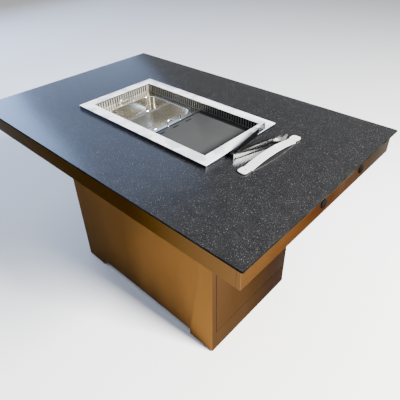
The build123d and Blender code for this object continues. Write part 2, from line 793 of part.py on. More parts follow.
with BuildPart() as glides:
    with BuildSketch(Plane.XY):
        with GridLocations(2 * base_rail_x, 2 * glide_y, 2, 2):
            Circle(glide_radius)
    extrude(amount=glide_height)
    with BuildSketch(Plane.XY.offset(glide_height)):
        with GridLocations(2 * base_rail_x, 2 * glide_y, 2, 2):
            Circle(glide_stem_radius)
    extrude(amount=glide_stem_length)
finish(glides, "glides")

# ================================================================================== door
door_near = end_near + door_gap
door_far = end_far - door_gap - seam
door_width = door_far - door_near
door_height = door_top - door_bottom
door_inner = cabinet_x - door_thickness
pivot_x = cabinet_x - pivot_inset
pivot_y = door_far - pivot_inset
boss_size = 2 * pivot_inset
with BuildPart() as door_panel:
    with BuildSketch(Plane.XY.offset(door_bottom)):
        with Locations((cabinet_x - door_thickness / 2, (door_near + door_far) / 2)):
            Rectangle(door_thickness, door_width)
    extrude(amount=door_height)
    fillet(door_panel.edges().filter_by(Axis.Z).group_by(Axis.X)[-1], fold_radius)
    with BuildSketch(Plane.XY.offset(door_bottom + sheet)):
        with Locations((cabinet_x - sheet - door_thickness / 2, (door_near + door_far) / 2)):
            Rectangle(door_thickness, door_width - 2 * sheet)
    extrude(amount=door_height - 2 * sheet, mode=Mode.SUBTRACT)
    for low in (door_bottom, door_top - pivot_length):
        with BuildSketch(Plane.XY.offset(low)):
            with Locations((cabinet_x - boss_size / 2 - sheet / 2, door_far - boss_size / 2 - sheet / 2)):
                Rectangle(boss_size, boss_size)
        extrude(amount=pivot_length)
        with BuildSketch(Plane.XY.offset(low)):
            with Locations((pivot_x, pivot_y)):
                Circle(pivot_radius + pivot_clearance)
        extrude(amount=pivot_length, mode=Mode.SUBTRACT)
finish(door_panel, "door_panel")

with BuildPart() as door_pivots:
    lower_plate = door_bottom - door_gap - pivot_plate
    upper_plate = door_top + door_gap
    for plate_z, pin_z in ((lower_plate, lower_plate + pivot_plate), (upper_plate, upper_plate)):
        with BuildSketch(Plane.XY.offset(plate_z)):
            with Locations((cabinet_x - sheet - pivot_plate_size / 2, end_far - pivot_plate_size / 2)):
                Rectangle(pivot_plate_size, pivot_plate_size)
        extrude(amount=pivot_plate)
        reach = door_gap + pivot_length - sheet
        with BuildSketch(Plane.XY.offset(pin_z)):
            with Locations((pivot_x, pivot_y)):
                Circle(pivot_radius)
        extrude(amount=reach if pin_z > plate_z else -reach)
finish(door_pivots, "door_pivots")

catch_face = door_inner - catch_air
with BuildPart() as door_catch:
    with BuildSketch(Plane.XY.offset(catch_level - catch_length / 2)):
        with Locations((catch_face - post_size / 2, -post_y + post_size / 2 + catch_width / 2)):
            Rectangle(post_size, catch_width)
    extrude(amount=catch_length)
finish(door_catch, "door_catch")

with BuildPart() as door_striker:
    with BuildSketch(Plane.XY.offset(catch_level - striker_length / 2)):
        with Locations((door_inner + sheet / 2, door_near + sheet + striker_width / 2)):
            Rectangle(sheet, striker_width)
    extrude(amount=striker_length)
finish(door_striker, "door_striker")

# =========================================================================== ventilation
duct_top = tub_bottom
duct_bottom = duct_top - duct_length
with BuildPart() as exhaust_duct:
    with BuildSketch(Plane.XY.offset(duct_bottom)):
        Circle(duct_radius)
    extrude(amount=duct_length)
    with BuildSketch(Plane.XY.offset(duct_top)):
        Circle(duct_radius + duct_flange)
    extrude(amount=-tub_wall)
    with BuildSketch(Plane.XY.offset(duct_bottom)):
        Circle(duct_radius - duct_wall)
    extrude(amount=duct_length, mode=Mode.SUBTRACT)
finish(exhaust_duct, "exhaust_duct")

filter_top = duct_bottom
filter_bottom = filter_top - filter_height
cartridge_size = filter_size - 2 * filter_wall - 2 * cartridge_gap
with BuildPart() as filter_box:
    with BuildSketch(Plane.XY.offset(filter_bottom)):
        Rectangle(filter_size, filter_size)
    extrude(amount=filter_height)
    with BuildSketch(Plane.XY.offset(filter_bottom + filter_wall)):
        Rectangle(filter_size - 2 * filter_wall, filter_size - 2 * filter_wall)
    extrude(amount=filter_height - 2 * filter_wall, mode=Mode.SUBTRACT)
    with BuildSketch(Plane.XY.offset(filter_top)):
        Circle(duct_hole_radius)
    extrude(amount=-filter_wall, mode=Mode.SUBTRACT)
    with BuildSketch(Plane.XY.offset(filter_bottom)):
        Circle(blower_neck_radius - blower_wall)
    extrude(amount=filter_wall, mode=Mode.SUBTRACT)
    with BuildSketch(Plane.XY.offset(filter_bottom + cartridge_level)):
        for side in (-1, 1):
            runner_y = side * (filter_size / 2 - filter_wall - runner_width / 2)
            with Locations((0, runner_y)):
                Rectangle(filter_size - 2 * filter_wall, runner_width)
    extrude(amount=-filter_wall)
    with BuildSketch(Plane.YZ.offset(filter_size / 2 - filter_wall)):
        mouth_height = cartridge_height + cartridge_gap
        with Locations((0, filter_bottom + cartridge_level + mouth_height / 2)):
            Rectangle(cartridge_size + cartridge_gap, mouth_height)
    extrude(amount=filter_wall, mode=Mode.SUBTRACT)
finish(filter_box, "filter_box")

with BuildPart() as filter_cartridge:
    with BuildSketch(Plane.XY.offset(filter_bottom + cartridge_level)):
        Rectangle(cartridge_size, cartridge_size)
    extrude(amount=cartridge_height)
finish(filter_cartridge, "filter_cartridge")

with BuildPart() as filter_rails:
    with BuildSketch(Plane.XY.offset(filter_bottom)):
        for side in (-1, 1):
            with Locations((side * support_rail_spacing / 2, 0)):
                Rectangle(support_rail_width, cabinet_depth - 2 * sheet)
    extrude(amount=-support_rail_height)
finish(filter_rails, "filter_rails")

blower_bottom = filter_bottom - support_rail_height - blower_wall - blower_height
neck_length = filter_bottom - blower_bottom - blower_height
blower_mid = blower_bottom + blower_height / 2
with BuildPart() as blower_housing:
    with BuildSketch(Plane.XY.offset(blower_bottom)):
        Circle(blower_radius)
        with Locations((-blower_outlet_reach / 2, outlet_y)):
            Rectangle(blower_outlet_reach, blower_outlet_width)
    extrude(amount=blower_height)
    with BuildSketch(Plane.XY.offset(blower_bottom + blower_height)):
        Circle(blower_neck_radius)
    extrude(amount=neck_length)
    with BuildSketch(Plane.XY.offset(blower_bottom + blower_wall)):
        Circle(blower_radius - blower_wall)
        with Locations((-blower_outlet_reach / 2, outlet_y)):
            Rectangle(blower_outlet_reach - 2 * blower_wall, blower_outlet_width - 2 * blower_wall)
    extrude(amount=blower_height - 2 * blower_wall, mode=Mode.SUBTRACT)
    with BuildSketch(Plane.XY.offset(blower_bottom + blower_height - blower_wall)):
        Circle(blower_neck_radius - blower_wall)
    extrude(amount=blower_wall + neck_length, mode=Mode.SUBTRACT)
    with BuildSketch(Plane.XY.offset(blower_bottom)):
        Circle(shaft_radius + contact_gap)
    extrude(amount=blower_wall, mode=Mode.SUBTRACT)
    with BuildSketch(Plane.YZ.offset(-blower_outlet_reach)):
        with Locations((outlet_y, blower_mid)):
            Circle(elbow_radius - elbow_wall)
    extrude(amount=blower_wall, mode=Mode.SUBTRACT)
finish(blower_housing, "blower_housing")

hub_radius = 3 * shaft_radius
impeller_bottom = blower_bottom + blower_wall + impeller_gap
with BuildPart() as impeller:
    with BuildSketch(Plane.XY.offset(impeller_bottom)):
        Circle(impeller_radius)
    extrude(amount=impeller_blade_sheet)
    with BuildSketch(Plane.XY.offset(impeller_bottom)):
        Circle(hub_radius)
    extrude(amount=impeller_height / 2)
    with BuildSketch(Plane.XY.offset(impeller_bottom + impeller_blade_sheet)):
        blade_circle = impeller_radius - impeller_blade_width / 2
        with PolarLocations(blade_circle, impeller_blades):
            Rectangle(impeller_blade_width, impeller_blade_sheet, rotation=impeller_blade_angle)
    extrude(amount=impeller_height - 2 * impeller_blade_sheet)
    with BuildSketch(Plane.XY.offset(impeller_bottom + impeller_height - impeller_blade_sheet)):
        Circle(impeller_radius)
        Circle(impeller_radius - impeller_blade_width, mode=Mode.SUBTRACT)
    extrude(amount=impeller_blade_sheet)
    with BuildSketch(Plane.XY.offset(blower_bottom - shaft_socket + contact_gap)):
        Circle(shaft_radius)
    extrude(amount=impeller_bottom - blower_bottom + shaft_socket - contact_gap)
finish(impeller, "impeller")

with BuildPart() as motor:
    with BuildSketch(Plane.XY.offset(base_top)):
        Circle(motor_radius)
    extrude(amount=blower_bottom - base_top)
    fillet(motor.edges().filter_by(GeomType.CIRCLE).group_by(Axis.Z)[0], blower_wall)
    with BuildSketch(Plane.XY.offset(blower_bottom)):
        Circle(shaft_radius + contact_gap)
    extrude(amount=-shaft_socket, mode=Mode.SUBTRACT)
finish(motor, "motor")

elbow_foot = glide_height
with BuildPart() as outlet_elbow:
    with BuildLine() as elbow_path:
        FilletPolyline(
            (-blower_outlet_reach, outlet_y, blower_mid), (outlet_x, outlet_y, blower_mid),
            (outlet_x, outlet_y, elbow_foot), radius=elbow_bend,
        )
    with BuildSketch(Plane(origin=(-blower_outlet_reach, outlet_y, blower_mid), z_dir=(-1, 0, 0))):
        Circle(elbow_radius)
        Circle(elbow_radius - elbow_wall, mode=Mode.SUBTRACT)
    sweep(path=elbow_path.wires()[0])
finish(outlet_elbow, "outlet_elbow")

# ============================================================================ electrical
control_x = -cabinet_x + sheet + control_depth / 2
with BuildPart() as control_box:
    with BuildSketch(Plane.XY.offset(control_level)):
        with Locations((control_x, 0)):
            Rectangle(control_depth, control_width)
    extrude(amount=control_height)
    with BuildSketch(Plane.XY.offset(control_level + control_wall)):
        with Locations((control_x, 0)):
            Rectangle(control_depth - 2 * control_wall, control_width - 2 * control_wall)
    extrude(amount=control_height - 2 * control_wall, mode=Mode.SUBTRACT)
finish(control_box, "control_box")

with BuildPart() as cable_gland:
    with BuildSketch(Plane.XY.offset(base_under)):
        with Locations((gland_x, gland_y)):
            Circle(gland_radius)
    extrude(amount=base_thickness)
    for level, amount in ((base_under, -gland_radius / 2), (base_top, gland_radius)):
        with BuildSketch(Plane.XY.offset(level)):
            with Locations((gland_x, gland_y)):
                RegularPolygon(gland_nut_radius, 6)
        extrude(amount=amount)
    with BuildSketch(Plane.XY.offset(base_under - gland_radius / 2)):
        with Locations((gland_x, gland_y)):
            Circle(gland_bore)
    extrude(amount=base_thickness + 1.5 * gland_radius, mode=Mode.SUBTRACT)
finish(cable_gland, "cable_gland")

switches = (
    ("switch_pan", "button_pan", pan_switch_y, -module_shift),
    ("switch_griddle", "button_griddle", griddle_switch_y, module_shift),
)
for switch_name, button_name, switch_y, shift in switches:
    bezel_face = apron_x + bezel_proud
    cap_face = bezel_face - button_recess
    with BuildPart() as switch:
        with BuildSketch(Plane.XY.offset(apron_bottom - module_peep)):
            with Locations((module_face - module_depth / 2, switch_y + shift)):
                Rectangle(module_depth, module_width)
        extrude(amount=module_height)
        for start, length, radius in (
            (module_face, apron_x - module_face, barrel_radius),
            (apron_x - sheet - locknut_height, locknut_height, locknut_radius),
            (apron_x, bezel_proud, bezel_radius),
        ):
            with BuildSketch(Plane.YZ.offset(start)):
                with Locations((switch_y, switch_z)):
                    Circle(radius)
            extrude(amount=length)
        fillet(switch.edges().filter_by(GeomType.CIRCLE).group_by(Axis.X)[-1], bezel_proud / 3)
        with BuildSketch(Plane.YZ.offset(cap_face - button_length - button_travel - contact_gap)):
            with Locations((switch_y, switch_z)):
                Circle(button_radius + button_clearance)
        extrude(amount=2 * (button_length + button_travel), mode=Mode.SUBTRACT)
    finish(switch, switch_name)
    with BuildPart() as button:
        with BuildSketch(Plane.YZ.offset(cap_face - button_length)):
            with Locations((switch_y, switch_z)):
                Circle(button_radius)
        extrude(amount=button_length)
        fillet(button.edges().filter_by(GeomType.CIRCLE).group_by(Axis.X)[-1], button_recess)
    finish(button, button_name)

# ================================================================================= tongs
tongs_foot = table_height + contact_gap + tongs_rivet_head
tongs_pivot_x = rim_length / 2 + tongs_pivot_offset
tongs_reach = tongs_arm_length + slotted_head_length
slotted_climb = rim_height + (slotted_head_height - tongs_height) / 2
slotted_rise = degrees(asin(slotted_climb / tongs_reach))
spoon_climb = (spoon_head_height - tongs_height) / 2
spoon_middle = tongs_arm_length + spoon_head_length / 2
spoon_rise = degrees(asin(spoon_climb / spoon_middle))
hub_clear = tongs_hub_radius + tongs_sheet
lug_radius = tongs_hub_radius - 1.5 * tongs_sheet
lug_level = tongs_sheet + tongs_lap


def arm_plane(heading: float, rise: float) -> Plane:
    """Plane at the pivot whose x runs along an arm and whose z is up its height."""
    along = Vector(cos(radians(heading)) * cos(radians(rise)),
                   sin(radians(heading)) * cos(radians(rise)), sin(radians(rise)))
    across = Vector(-sin(radians(heading)), cos(radians(heading)), 0)
    origin = (tongs_pivot_x, tongs_pivot_y, tongs_foot)
    return Plane(origin=origin, x_dir=along, z_dir=along.cross(across))


def side_plane(base: Plane, across: float) -> Plane:
    """Plane of an arm's side view, its x along the arm and its y up, extruding to -across."""
    origin = base.from_local_coords(Vector(0, across, 0))
    return Plane(origin=origin, x_dir=base.x_dir, z_dir=-base.y_dir)


hub_plane = Plane(origin=(tongs_pivot_x, tongs_pivot_y, tongs_foot), z_dir=(0, 0, 1))
slotted_plane = arm_plane(slotted_heading, slotted_rise)
with BuildPart() as tongs_arm_slotted:
    with BuildSketch(side_plane(slotted_plane, tongs_hub_radius)):
        with BuildLine():
            head_low = (tongs_height - slotted_head_height) / 2
            Polyline(
                (0, 0), (tongs_arm_length, 0), (tongs_reach, head_low),
                (tongs_reach, head_low + slotted_head_height), (tongs_arm_length, tongs_height),
                (0, tongs_height), close=True,
            )
        make_face()
        with Locations((tongs_arm_length + slotted_head_slot_middle, tongs_height / 2)):
            with GridLocations(1, slotted_head_slot_pitch, 1, slotted_head_slots):
                SlotOverall(slotted_head_slot_length, slotted_head_slot_width, mode=Mode.SUBTRACT)
    extrude(amount=tongs_sheet)
    flange_length = tongs_arm_length - hub_clear
    for level in (0, tongs_height - tongs_sheet):
        with BuildSketch(slotted_plane.offset(level)):
            with Locations((hub_clear + flange_length / 2, tongs_hub_radius - tongs_flange / 2)):
                Rectangle(flange_length, tongs_flange)
        extrude(amount=tongs_sheet)
        with BuildSketch(hub_plane.offset(level)):
            Circle(tongs_hub_radius)
            Circle(tongs_pin_radius, mode=Mode.SUBTRACT)
        extrude(amount=tongs_sheet)
finish(tongs_arm_slotted, "tongs_arm_slotted")

spoon_plane = arm_plane(spoon_heading, spoon_rise)
bowl_side = side_plane(spoon_plane, -tongs_hub_radius)
bowl_half = spoon_head_length / 2
bowl_rise = sqrt(spoon_sphere_radius**2 - bowl_half**2)
bowl_centre = spoon_plane.from_local_coords(
    Vector(spoon_middle, bowl_rise - tongs_hub_radius, tongs_height / 2)
)
with BuildPart() as spoon_bowl:
    with BuildSketch(bowl_side):
        with Locations((spoon_middle, tongs_height / 2)):
            Ellipse(bowl_half + tongs_sheet, spoon_head_height / 2)
    extrude(amount=spoon_head_height, both=True)
    with Locations(bowl_centre):
        Sphere(spoon_sphere_radius + tongs_sheet, mode=Mode.INTERSECT)
        Sphere(spoon_sphere_radius, mode=Mode.SUBTRACT)

spoon_axis = hub_plane.rotated((0, 0, spoon_heading))
with BuildPart() as tongs_arm_spoon:
    with BuildSketch(side_plane(spoon_plane, tongs_sheet - tongs_hub_radius)):
        with BuildLine():
            Polyline(
                (0, lug_level), (hub_clear, lug_level), (hub_clear, 0), (tongs_arm_length, 0),
                (tongs_arm_length, tongs_height), (hub_clear, tongs_height),
                (hub_clear, tongs_height - lug_level), (0, tongs_height - lug_level), close=True,
            )
        make_face()
    extrude(amount=tongs_sheet)
    for level in (0, tongs_height - tongs_sheet):
        with BuildSketch(spoon_plane.offset(level)):
            with Locations((hub_clear + flange_length / 2, tongs_flange / 2 - tongs_hub_radius)):
                Rectangle(flange_length, tongs_flange)
        extrude(amount=tongs_sheet)
    for level in (lug_level, tongs_height - lug_level - tongs_sheet):
        with BuildSketch(spoon_axis.offset(level)):
            Circle(lug_radius)
            with Locations((lug_radius / 2, -tongs_hub_radius / 2)):
                Rectangle(lug_radius, tongs_hub_radius)
            Circle(tongs_pin_radius + tongs_pin_clearance, mode=Mode.SUBTRACT)
        extrude(amount=tongs_sheet)
    add(spoon_bowl.part)
finish(tongs_arm_spoon, "tongs_arm_spoon")

with BuildPart() as tongs_pin:
    with BuildSketch(hub_plane):
        Circle(tongs_pin_radius)
    extrude(amount=tongs_height)
    for level, amount in ((0, -tongs_rivet_head), (tongs_height, tongs_rivet_head)):
        with BuildSketch(hub_plane.offset(level)):
            Circle(tongs_rivet_radius)
        extrude(amount=amount)
finish(tongs_pin, "tongs_pin")

# ============================================================================ pan lifter
lifter_heading = radians(90 - lifter_turn)
lifter_plane = Plane(
    origin=(rim_length / 2 + lifter_offset, lifter_y, table_height + contact_gap),
    x_dir=(cos(lifter_heading), sin(lifter_heading), 0), z_dir=(0, 0, 1),
)
lifter_end = lifter_length / 2
lifter_shoulder = lifter_end - lifter_ear
lifter_foot = lifter_shoulder - lifter_joggle_run
with BuildPart() as pan_lifter:
    with BuildSketch(side_plane(lifter_plane, lifter_width / 2)):
        with BuildLine():
            Polyline(
                (-lifter_foot, lifter_sheet), (-lifter_shoulder, lifter_joggle + lifter_sheet),
                (-lifter_end, lifter_joggle + lifter_sheet), (-lifter_end, lifter_joggle),
                (-lifter_shoulder, lifter_joggle), (-lifter_foot, 0),
            )
            ThreePointArc((-lifter_foot, 0), (0, lifter_arch), (lifter_foot, 0))
            Polyline(
                (lifter_foot, 0), (lifter_shoulder, lifter_joggle), (lifter_end, lifter_joggle),
                (lifter_end, lifter_joggle + lifter_sheet),
                (lifter_shoulder, lifter_joggle + lifter_sheet), (lifter_foot, lifter_sheet),
            )
            ThreePointArc(
                (lifter_foot, lifter_sheet), (0, lifter_arch + lifter_sheet),
                (-lifter_foot, lifter_sheet),
            )
        make_face()
    extrude(amount=lifter_width)
    with BuildSketch(lifter_plane) as lifter_outline:
        Rectangle(lifter_length, lifter_width)
        chamfer(lifter_outline.vertices(), length=lifter_tip_chamfer)
        with GridLocations(2 * lifter_shoulder, lifter_width, 2, 2):
            Circle(lifter_neck, mode=Mode.SUBTRACT)
        with GridLocations(2 * (lifter_end - lifter_hole_inset), 1, 2, 1):
            Circle(lifter_hole_radius, mode=Mode.SUBTRACT)
    extrude(amount=lifter_arch + 2 * lifter_sheet, mode=Mode.INTERSECT)
finish(pan_lifter, "pan_lifter")
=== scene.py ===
"""Looks of a hot pot and barbecue table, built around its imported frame.

The frame holds every piece at its real size. This script gives each visible surface its
finish, and swaps the pieces whose form is soft, pressed or pleated for finer meshes in the
same places. All lengths are in metres: +X runs along the table towards the switches, +Y to
the rear and +Z up.
"""

import logging
import math
from dataclasses import dataclass, replace
from enum import Enum
from typing import Callable, Dict, Iterable, List, Optional, Sequence, Tuple, Union

import bmesh
import bpy
from mathutils import Euler, Matrix, Vector


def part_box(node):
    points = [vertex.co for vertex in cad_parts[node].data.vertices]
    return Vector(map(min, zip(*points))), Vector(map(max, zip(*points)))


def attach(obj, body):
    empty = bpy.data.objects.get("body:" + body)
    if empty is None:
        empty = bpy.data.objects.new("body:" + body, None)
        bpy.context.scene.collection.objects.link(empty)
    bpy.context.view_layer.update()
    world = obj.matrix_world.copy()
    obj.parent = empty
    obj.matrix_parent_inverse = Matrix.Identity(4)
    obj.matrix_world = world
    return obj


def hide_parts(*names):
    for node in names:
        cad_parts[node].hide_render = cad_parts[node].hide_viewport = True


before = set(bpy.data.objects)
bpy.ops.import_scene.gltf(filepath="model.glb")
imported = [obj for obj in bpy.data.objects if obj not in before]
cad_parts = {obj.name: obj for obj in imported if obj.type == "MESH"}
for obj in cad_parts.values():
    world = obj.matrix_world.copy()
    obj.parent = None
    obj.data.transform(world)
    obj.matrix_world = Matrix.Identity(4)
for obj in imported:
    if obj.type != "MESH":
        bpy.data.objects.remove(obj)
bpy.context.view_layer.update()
MM = 0.001
MERGE = 0.01 * MM
FLAT_TURN = math.radians(0.4)
SHARP_TURN = math.radians(30.0)
EDGE_STEPS = 2

Colour = Tuple[float, float, float]
Point = Sequence[float]
Material = bpy.types.Material
Vertex = bmesh.types.BMVert
Edge = bmesh.types.BMEdge
Face = bmesh.types.BMFace
Term = Union["Value", float]
log = logging.getLogger("table")


class Body(Enum):
    """The bodies of the frame that new pieces ride on."""

    ROOT = "root"
    DOOR = "door"
    PAN = "pan"
    GRIDDLE = "griddle"
    FILTER = "filter"
    PAN_BUTTON = "pan_button"
    GRIDDLE_BUTTON = "griddle_button"
    TONGS = "tongs"
    SPOON = "tongs_spoon"
    LIFTER = "lifter"


class Way(Enum):
    """The direction that a metal grain is drawn in."""

    X = 0
    Y = 1
    Z = 2


# -------- shader maths
class Value:
    """A shader socket that adds Math nodes when it takes part in an expression."""

    def __init__(self, graph: "Graph", socket: bpy.types.NodeSocket) -> None:
        """Keep the graph and the output socket that holds the number."""
        self.graph = graph
        self.socket = socket

    def _math(self, operation: str, *terms: Term) -> "Value":
        """Add one Math node that takes the terms in order."""
        return self.graph.add("ShaderNodeMath", {"operation": operation}, dict(enumerate(terms)))

    def __add__(self, other: Term) -> "Value":
        """Add."""
        return self._math("ADD", self, other)

    __radd__ = __add__

    def __sub__(self, other: Term) -> "Value":
        """Subtract."""
        return self._math("SUBTRACT", self, other)

    def __rsub__(self, other: Term) -> "Value":
        """Subtract from a number."""
        return self._math("SUBTRACT", other, self)

    def __mul__(self, other: Term) -> "Value":
        """Multiply."""
        return self._math("MULTIPLY", self, other)

    __rmul__ = __mul__

    def __abs__(self) -> "Value":
        """Drop the sign."""
        return self._math("ABSOLUTE", self)

    def above(self, other: Term) -> "Value":
        """One where this is larger than the other, and zero elsewhere."""
        return self._math("GREATER_THAN", self, other)

    def least(self, other: Term) -> "Value":
        """The smaller of two values."""
        return self._math("MINIMUM", self, other)

    def ease(self, low: float, high: float) -> "Value":
        """Rise smoothly from zero at low to one at high."""
        inputs = {"Value": self, "From Min": low, "From Max": high}
        return self.graph.add("ShaderNodeMapRange", {"interpolation_type": "SMOOTHSTEP"}, inputs)


class Graph:
    """The node tree of one material."""

    def __init__(self, name: str) -> None:
        """Start an empty tree.

        Args:
            name: The material's name.
        """
        self.material = bpy.data.materials.new(name)
        self.material.use_nodes = True
        self.tree = self.material.node_tree
        self.tree.nodes.clear()
        self.place = self.add("ShaderNodeTexCoord", output="Object")

    def add(
        self, kind: str, settings: Optional[Dict[str, object]] = None,
        inputs: Optional[Dict[Union[str, int], object]] = None, output: Union[str, int] = 0,
    ) -> Value:
        """Add a node, set it up and link it.

        Args:
            kind: The node's type.
            settings: Its own properties, such as a Math node's operation.
            inputs: Values or links of its sockets, by name or number.
            output: The socket that is handed back.

        Returns:
            The chosen output.
        """
        node = self.tree.nodes.new(kind)
        for key, setting in (settings or {}).items():
            setattr(node, key, setting)
        for key, value in (inputs or {}).items():
            if isinstance(value, Value):
                self.tree.links.new(value.socket, node.inputs[key])
            else:
                node.inputs[key].default_value = value
        return Value(self, node.outputs[output])

    def axes(self) -> Tuple[Value, Value, Value]:
        """The point's x, y and z in the frame, in metres."""
        inputs = {0: self.place}
        return tuple(self.add("ShaderNodeSeparateXYZ", None, inputs, i) for i in range(3))

    def mapped(self, scale: Point, turn: Point = (0, 0, 0)) -> Value:
        """The point, turned and then stretched for a pattern."""
        inputs = {"Vector": self.place, "Scale": scale, "Rotation": turn}
        return self.add("ShaderNodeMapping", None, inputs)

    def noise(self, where: Value, scale: float = 1.0, detail: float = 3.0) -> Value:
        """Cloudy noise from zero to one."""
        inputs = {"Vector": where, "Scale": scale, "Detail": detail}
        return self.add("ShaderNodeTexNoise", None, inputs)

    def cells(self, scale: float, output: str = "Distance") -> Value:
        """Voronoi cells: the distance to a cell's seed, or the cell's own colour."""
        inputs = {"Vector": self.place, "Scale": scale}
        return self.add("ShaderNodeTexVoronoi", None, inputs, output)

    def number(self, colour: Value) -> Value:
        """The first channel of a colour."""
        return self.add("ShaderNodeSeparateColor", None, {0: colour})

    def blend(self, share: Term, first: object, second: object) -> Value:
        """Mix two colours.

        Args:
            share: The second colour's share.
            first: The first colour, as a link or three numbers.
            second: The second colour, likewise.

        Returns:
            The mixed colour.
        """
        inputs = {0: share}
        for key, colour in ((6, first), (7, second)):
            inputs[key] = colour if isinstance(colour, Value) else (*colour, 1.0)
        return self.add("ShaderNodeMix", {"data_type": "RGBA"}, inputs, 2)

    def finish(
        self, colour: object, roughness: object, height: Optional[Value] = None,
        depth: float = 0.0, **sockets: object,
    ) -> Material:
        """End the tree in a Principled shader.

        Args:
            colour: The base colour, as a link or three numbers.
            roughness: The roughness, as a link or a number.
            height: The height of the surface's relief, from zero to one.
            depth: What a height of one stands for, in metres.
            sockets: Other sockets, with underscores for spaces.

        Returns:
            The material.
        """
        base = colour if isinstance(colour, Value) else (*colour, 1.0)
        inputs = {"Base Color": base, "Roughness": roughness}
        if height is not None:
            relief = {"Height": height, "Distance": depth, "Strength": 1.0}
            inputs["Normal"] = self.add("ShaderNodeBump", None, relief)
        for key, value in sockets.items():
            inputs[key.replace("_", " ")] = value
        shader = self.add("ShaderNodeBsdfPrincipled", None, inputs)
        end = self.tree.nodes.new("ShaderNodeOutputMaterial")
        self.tree.links.new(shader.socket, end.inputs["Surface"])
        return self.material


# -------- finishes
@dataclass(frozen=True)
class BrushedMetal:
    """Sheet metal whose grain is drawn along one way.

    Contrast and cloud are how far the grain and broad clouds change the colour. Fine and run
    are the grain's scales across and along its way.
    """

    name: str
    tone: Colour
    way: Way
    roughness: float = 0.3
    contrast: float = 0.16
    depth: float = 0.003 * MM
    cloud: float = 0.12
    fine: float = 900.0
    run: float = 7.0
    metallic: float = 1.0
    fine_share: float = 0.65

    def grain(self, graph: Graph, way: Way) -> Value:
        """Draw fine lines over broader ones.

        Args:
            graph: The material's tree.
            way: The way that the lines run.

        Returns:
            The brightness of the lines.
        """
        stretch = [self.fine] * 3
        stretch[way.value] = self.run
        coarse = [self.fine / 5] * 3
        coarse[way.value] = self.run / 2
        lines = graph.noise(graph.mapped(stretch), detail=2.0)
        broad = graph.noise(graph.mapped(coarse), detail=2.0)
        return lines * self.fine_share + broad * (1 - self.fine_share)

    def make(self) -> Material:
        """Build the material.

        Returns:
            The material.
        """
        graph = Graph(self.name)
        lines = self.grain(graph, self.way)
        clouds = graph.noise(graph.place, 4.0)
        light = (lines - 0.5) * self.contrast + (clouds - 0.5) * self.cloud + 0.5
        dark = [c * 0.5 for c in self.tone]
        bright = [min(1.0, c * 1.5) for c in self.tone]
        rough = (lines - 0.5) * 0.22 + (clouds - 0.5) * 0.12 + self.roughness
        colour = graph.blend(light, dark, bright)
        return graph.finish(colour, rough, lines, self.depth, Metallic=self.metallic)


@dataclass(frozen=True)
class BronzeSheet(BrushedMetal):
    """Bronze-coloured stainless sheet, with painted shade from its pale end to its dark end.

    The dark end paints the shadowed floor that the sheet reflects, and the pale end the lit
    floor. The ends are points of the floor plan, and a field sets the brightness left at the
    dark one.
    """

    rim_tint: Colour = (0.72, 0.6, 0.5)
    brightness_in_painted_shade: float = 0.7
    pale: Point = (0.5, 0.0)
    dark: Point = (-0.5, 0.0)
    waver: float = 0.5

    def make(self) -> Material:
        """Build the material.

        Returns:
            The material.
        """
        graph = Graph(self.name)
        x, y, _ = graph.axes()
        lines = self.grain(graph, self.way)
        clouds = graph.noise(graph.mapped((2.2, 2.2, 1.4)), detail=2.0)
        smears = graph.noise(graph.mapped((9.0, 9.0, 1.6)), detail=4.0)
        # Painted shade: the colour darkens along the line from the pale point to the dark point,
        # for the shadowed floor that the sheet reflects.
        run = [far - near for near, far in zip(self.dark, self.pale)]
        length = run[0] ** 2 + run[1] ** 2
        along = (x - self.dark[0]) * (run[0] / length) + (y - self.dark[1]) * (run[1] / length)
        depth = (along + (clouds - 0.5) * self.waver).ease(0.0, 1.0) * (1 - self.brightness_in_painted_shade) + self.brightness_in_painted_shade
        light = (lines - 0.5) * self.contrast + (smears - 0.5) * self.cloud + 1.0
        shade = depth * light * 0.5
        colour = graph.blend(shade, (0.0, 0.0, 0.0), [min(1.0, c * 2) for c in self.tone])
        rough = (lines - 0.5) * 0.16 + (smears - 0.5) * 0.14 + self.roughness
        tint = (*self.rim_tint, 1.0)
        return graph.finish(
            colour, rough, lines, self.depth, Metallic=self.metallic, Specular_Tint=tint
        )


@dataclass(frozen=True)
class MitredSteel(BrushedMetal):
    """Brushed steel of a frame whose four sides meet at 45 degrees.

    The seams' lines cross the long axis at mitre_start from the middle.
    """

    mitre_start: float = 0.0
    seam_core: float = 0.2 * MM
    seam_edge: float = 0.7 * MM
    seam_share: float = 0.45
    seam_tone: Colour = (0.2, 0.2, 0.2)
    shade: Colour = (0.48, 0.54, 0.6)
    painted_reflection_range: Tuple[float, float] = (0.38, 0.6)

    def make(self) -> Material:
        """Build the material.

        Returns:
            The material.
        """
        graph = Graph(self.name)
        x, y, _ = graph.axes()
        mitre = abs(x) - self.mitre_start - abs(y)
        ends = mitre.above(0.0)
        seam = 1 - abs(mitre).ease(self.seam_core, self.seam_edge)
        long_lines = self.grain(graph, Way.X)
        short_lines = self.grain(graph, Way.Y)
        lines = long_lines * (1 - ends) + short_lines * ends
        clouds = graph.noise(graph.place, 20.0)
        # The clouds, from the bluish dark tone to the bright one, paint reflections into the colour
        # as well as uneven tone.
        light = (lines - 0.5) * self.contrast + clouds.ease(*self.painted_reflection_range) * self.cloud + 0.25
        dark = [c * share for c, share in zip(self.tone, self.shade)]
        bright = [min(1.0, c * 1.2) for c in self.tone]
        metal = graph.blend(light, dark, bright)
        colour = graph.blend(seam * self.seam_share, metal, self.seam_tone)
        rough = (lines - 0.5) * 0.2 + (clouds - 0.5) * 0.1 + self.roughness
        height = lines * 0.3 + (1 - seam) * 0.7
        return graph.finish(colour, rough, height, self.depth, Metallic=self.metallic)


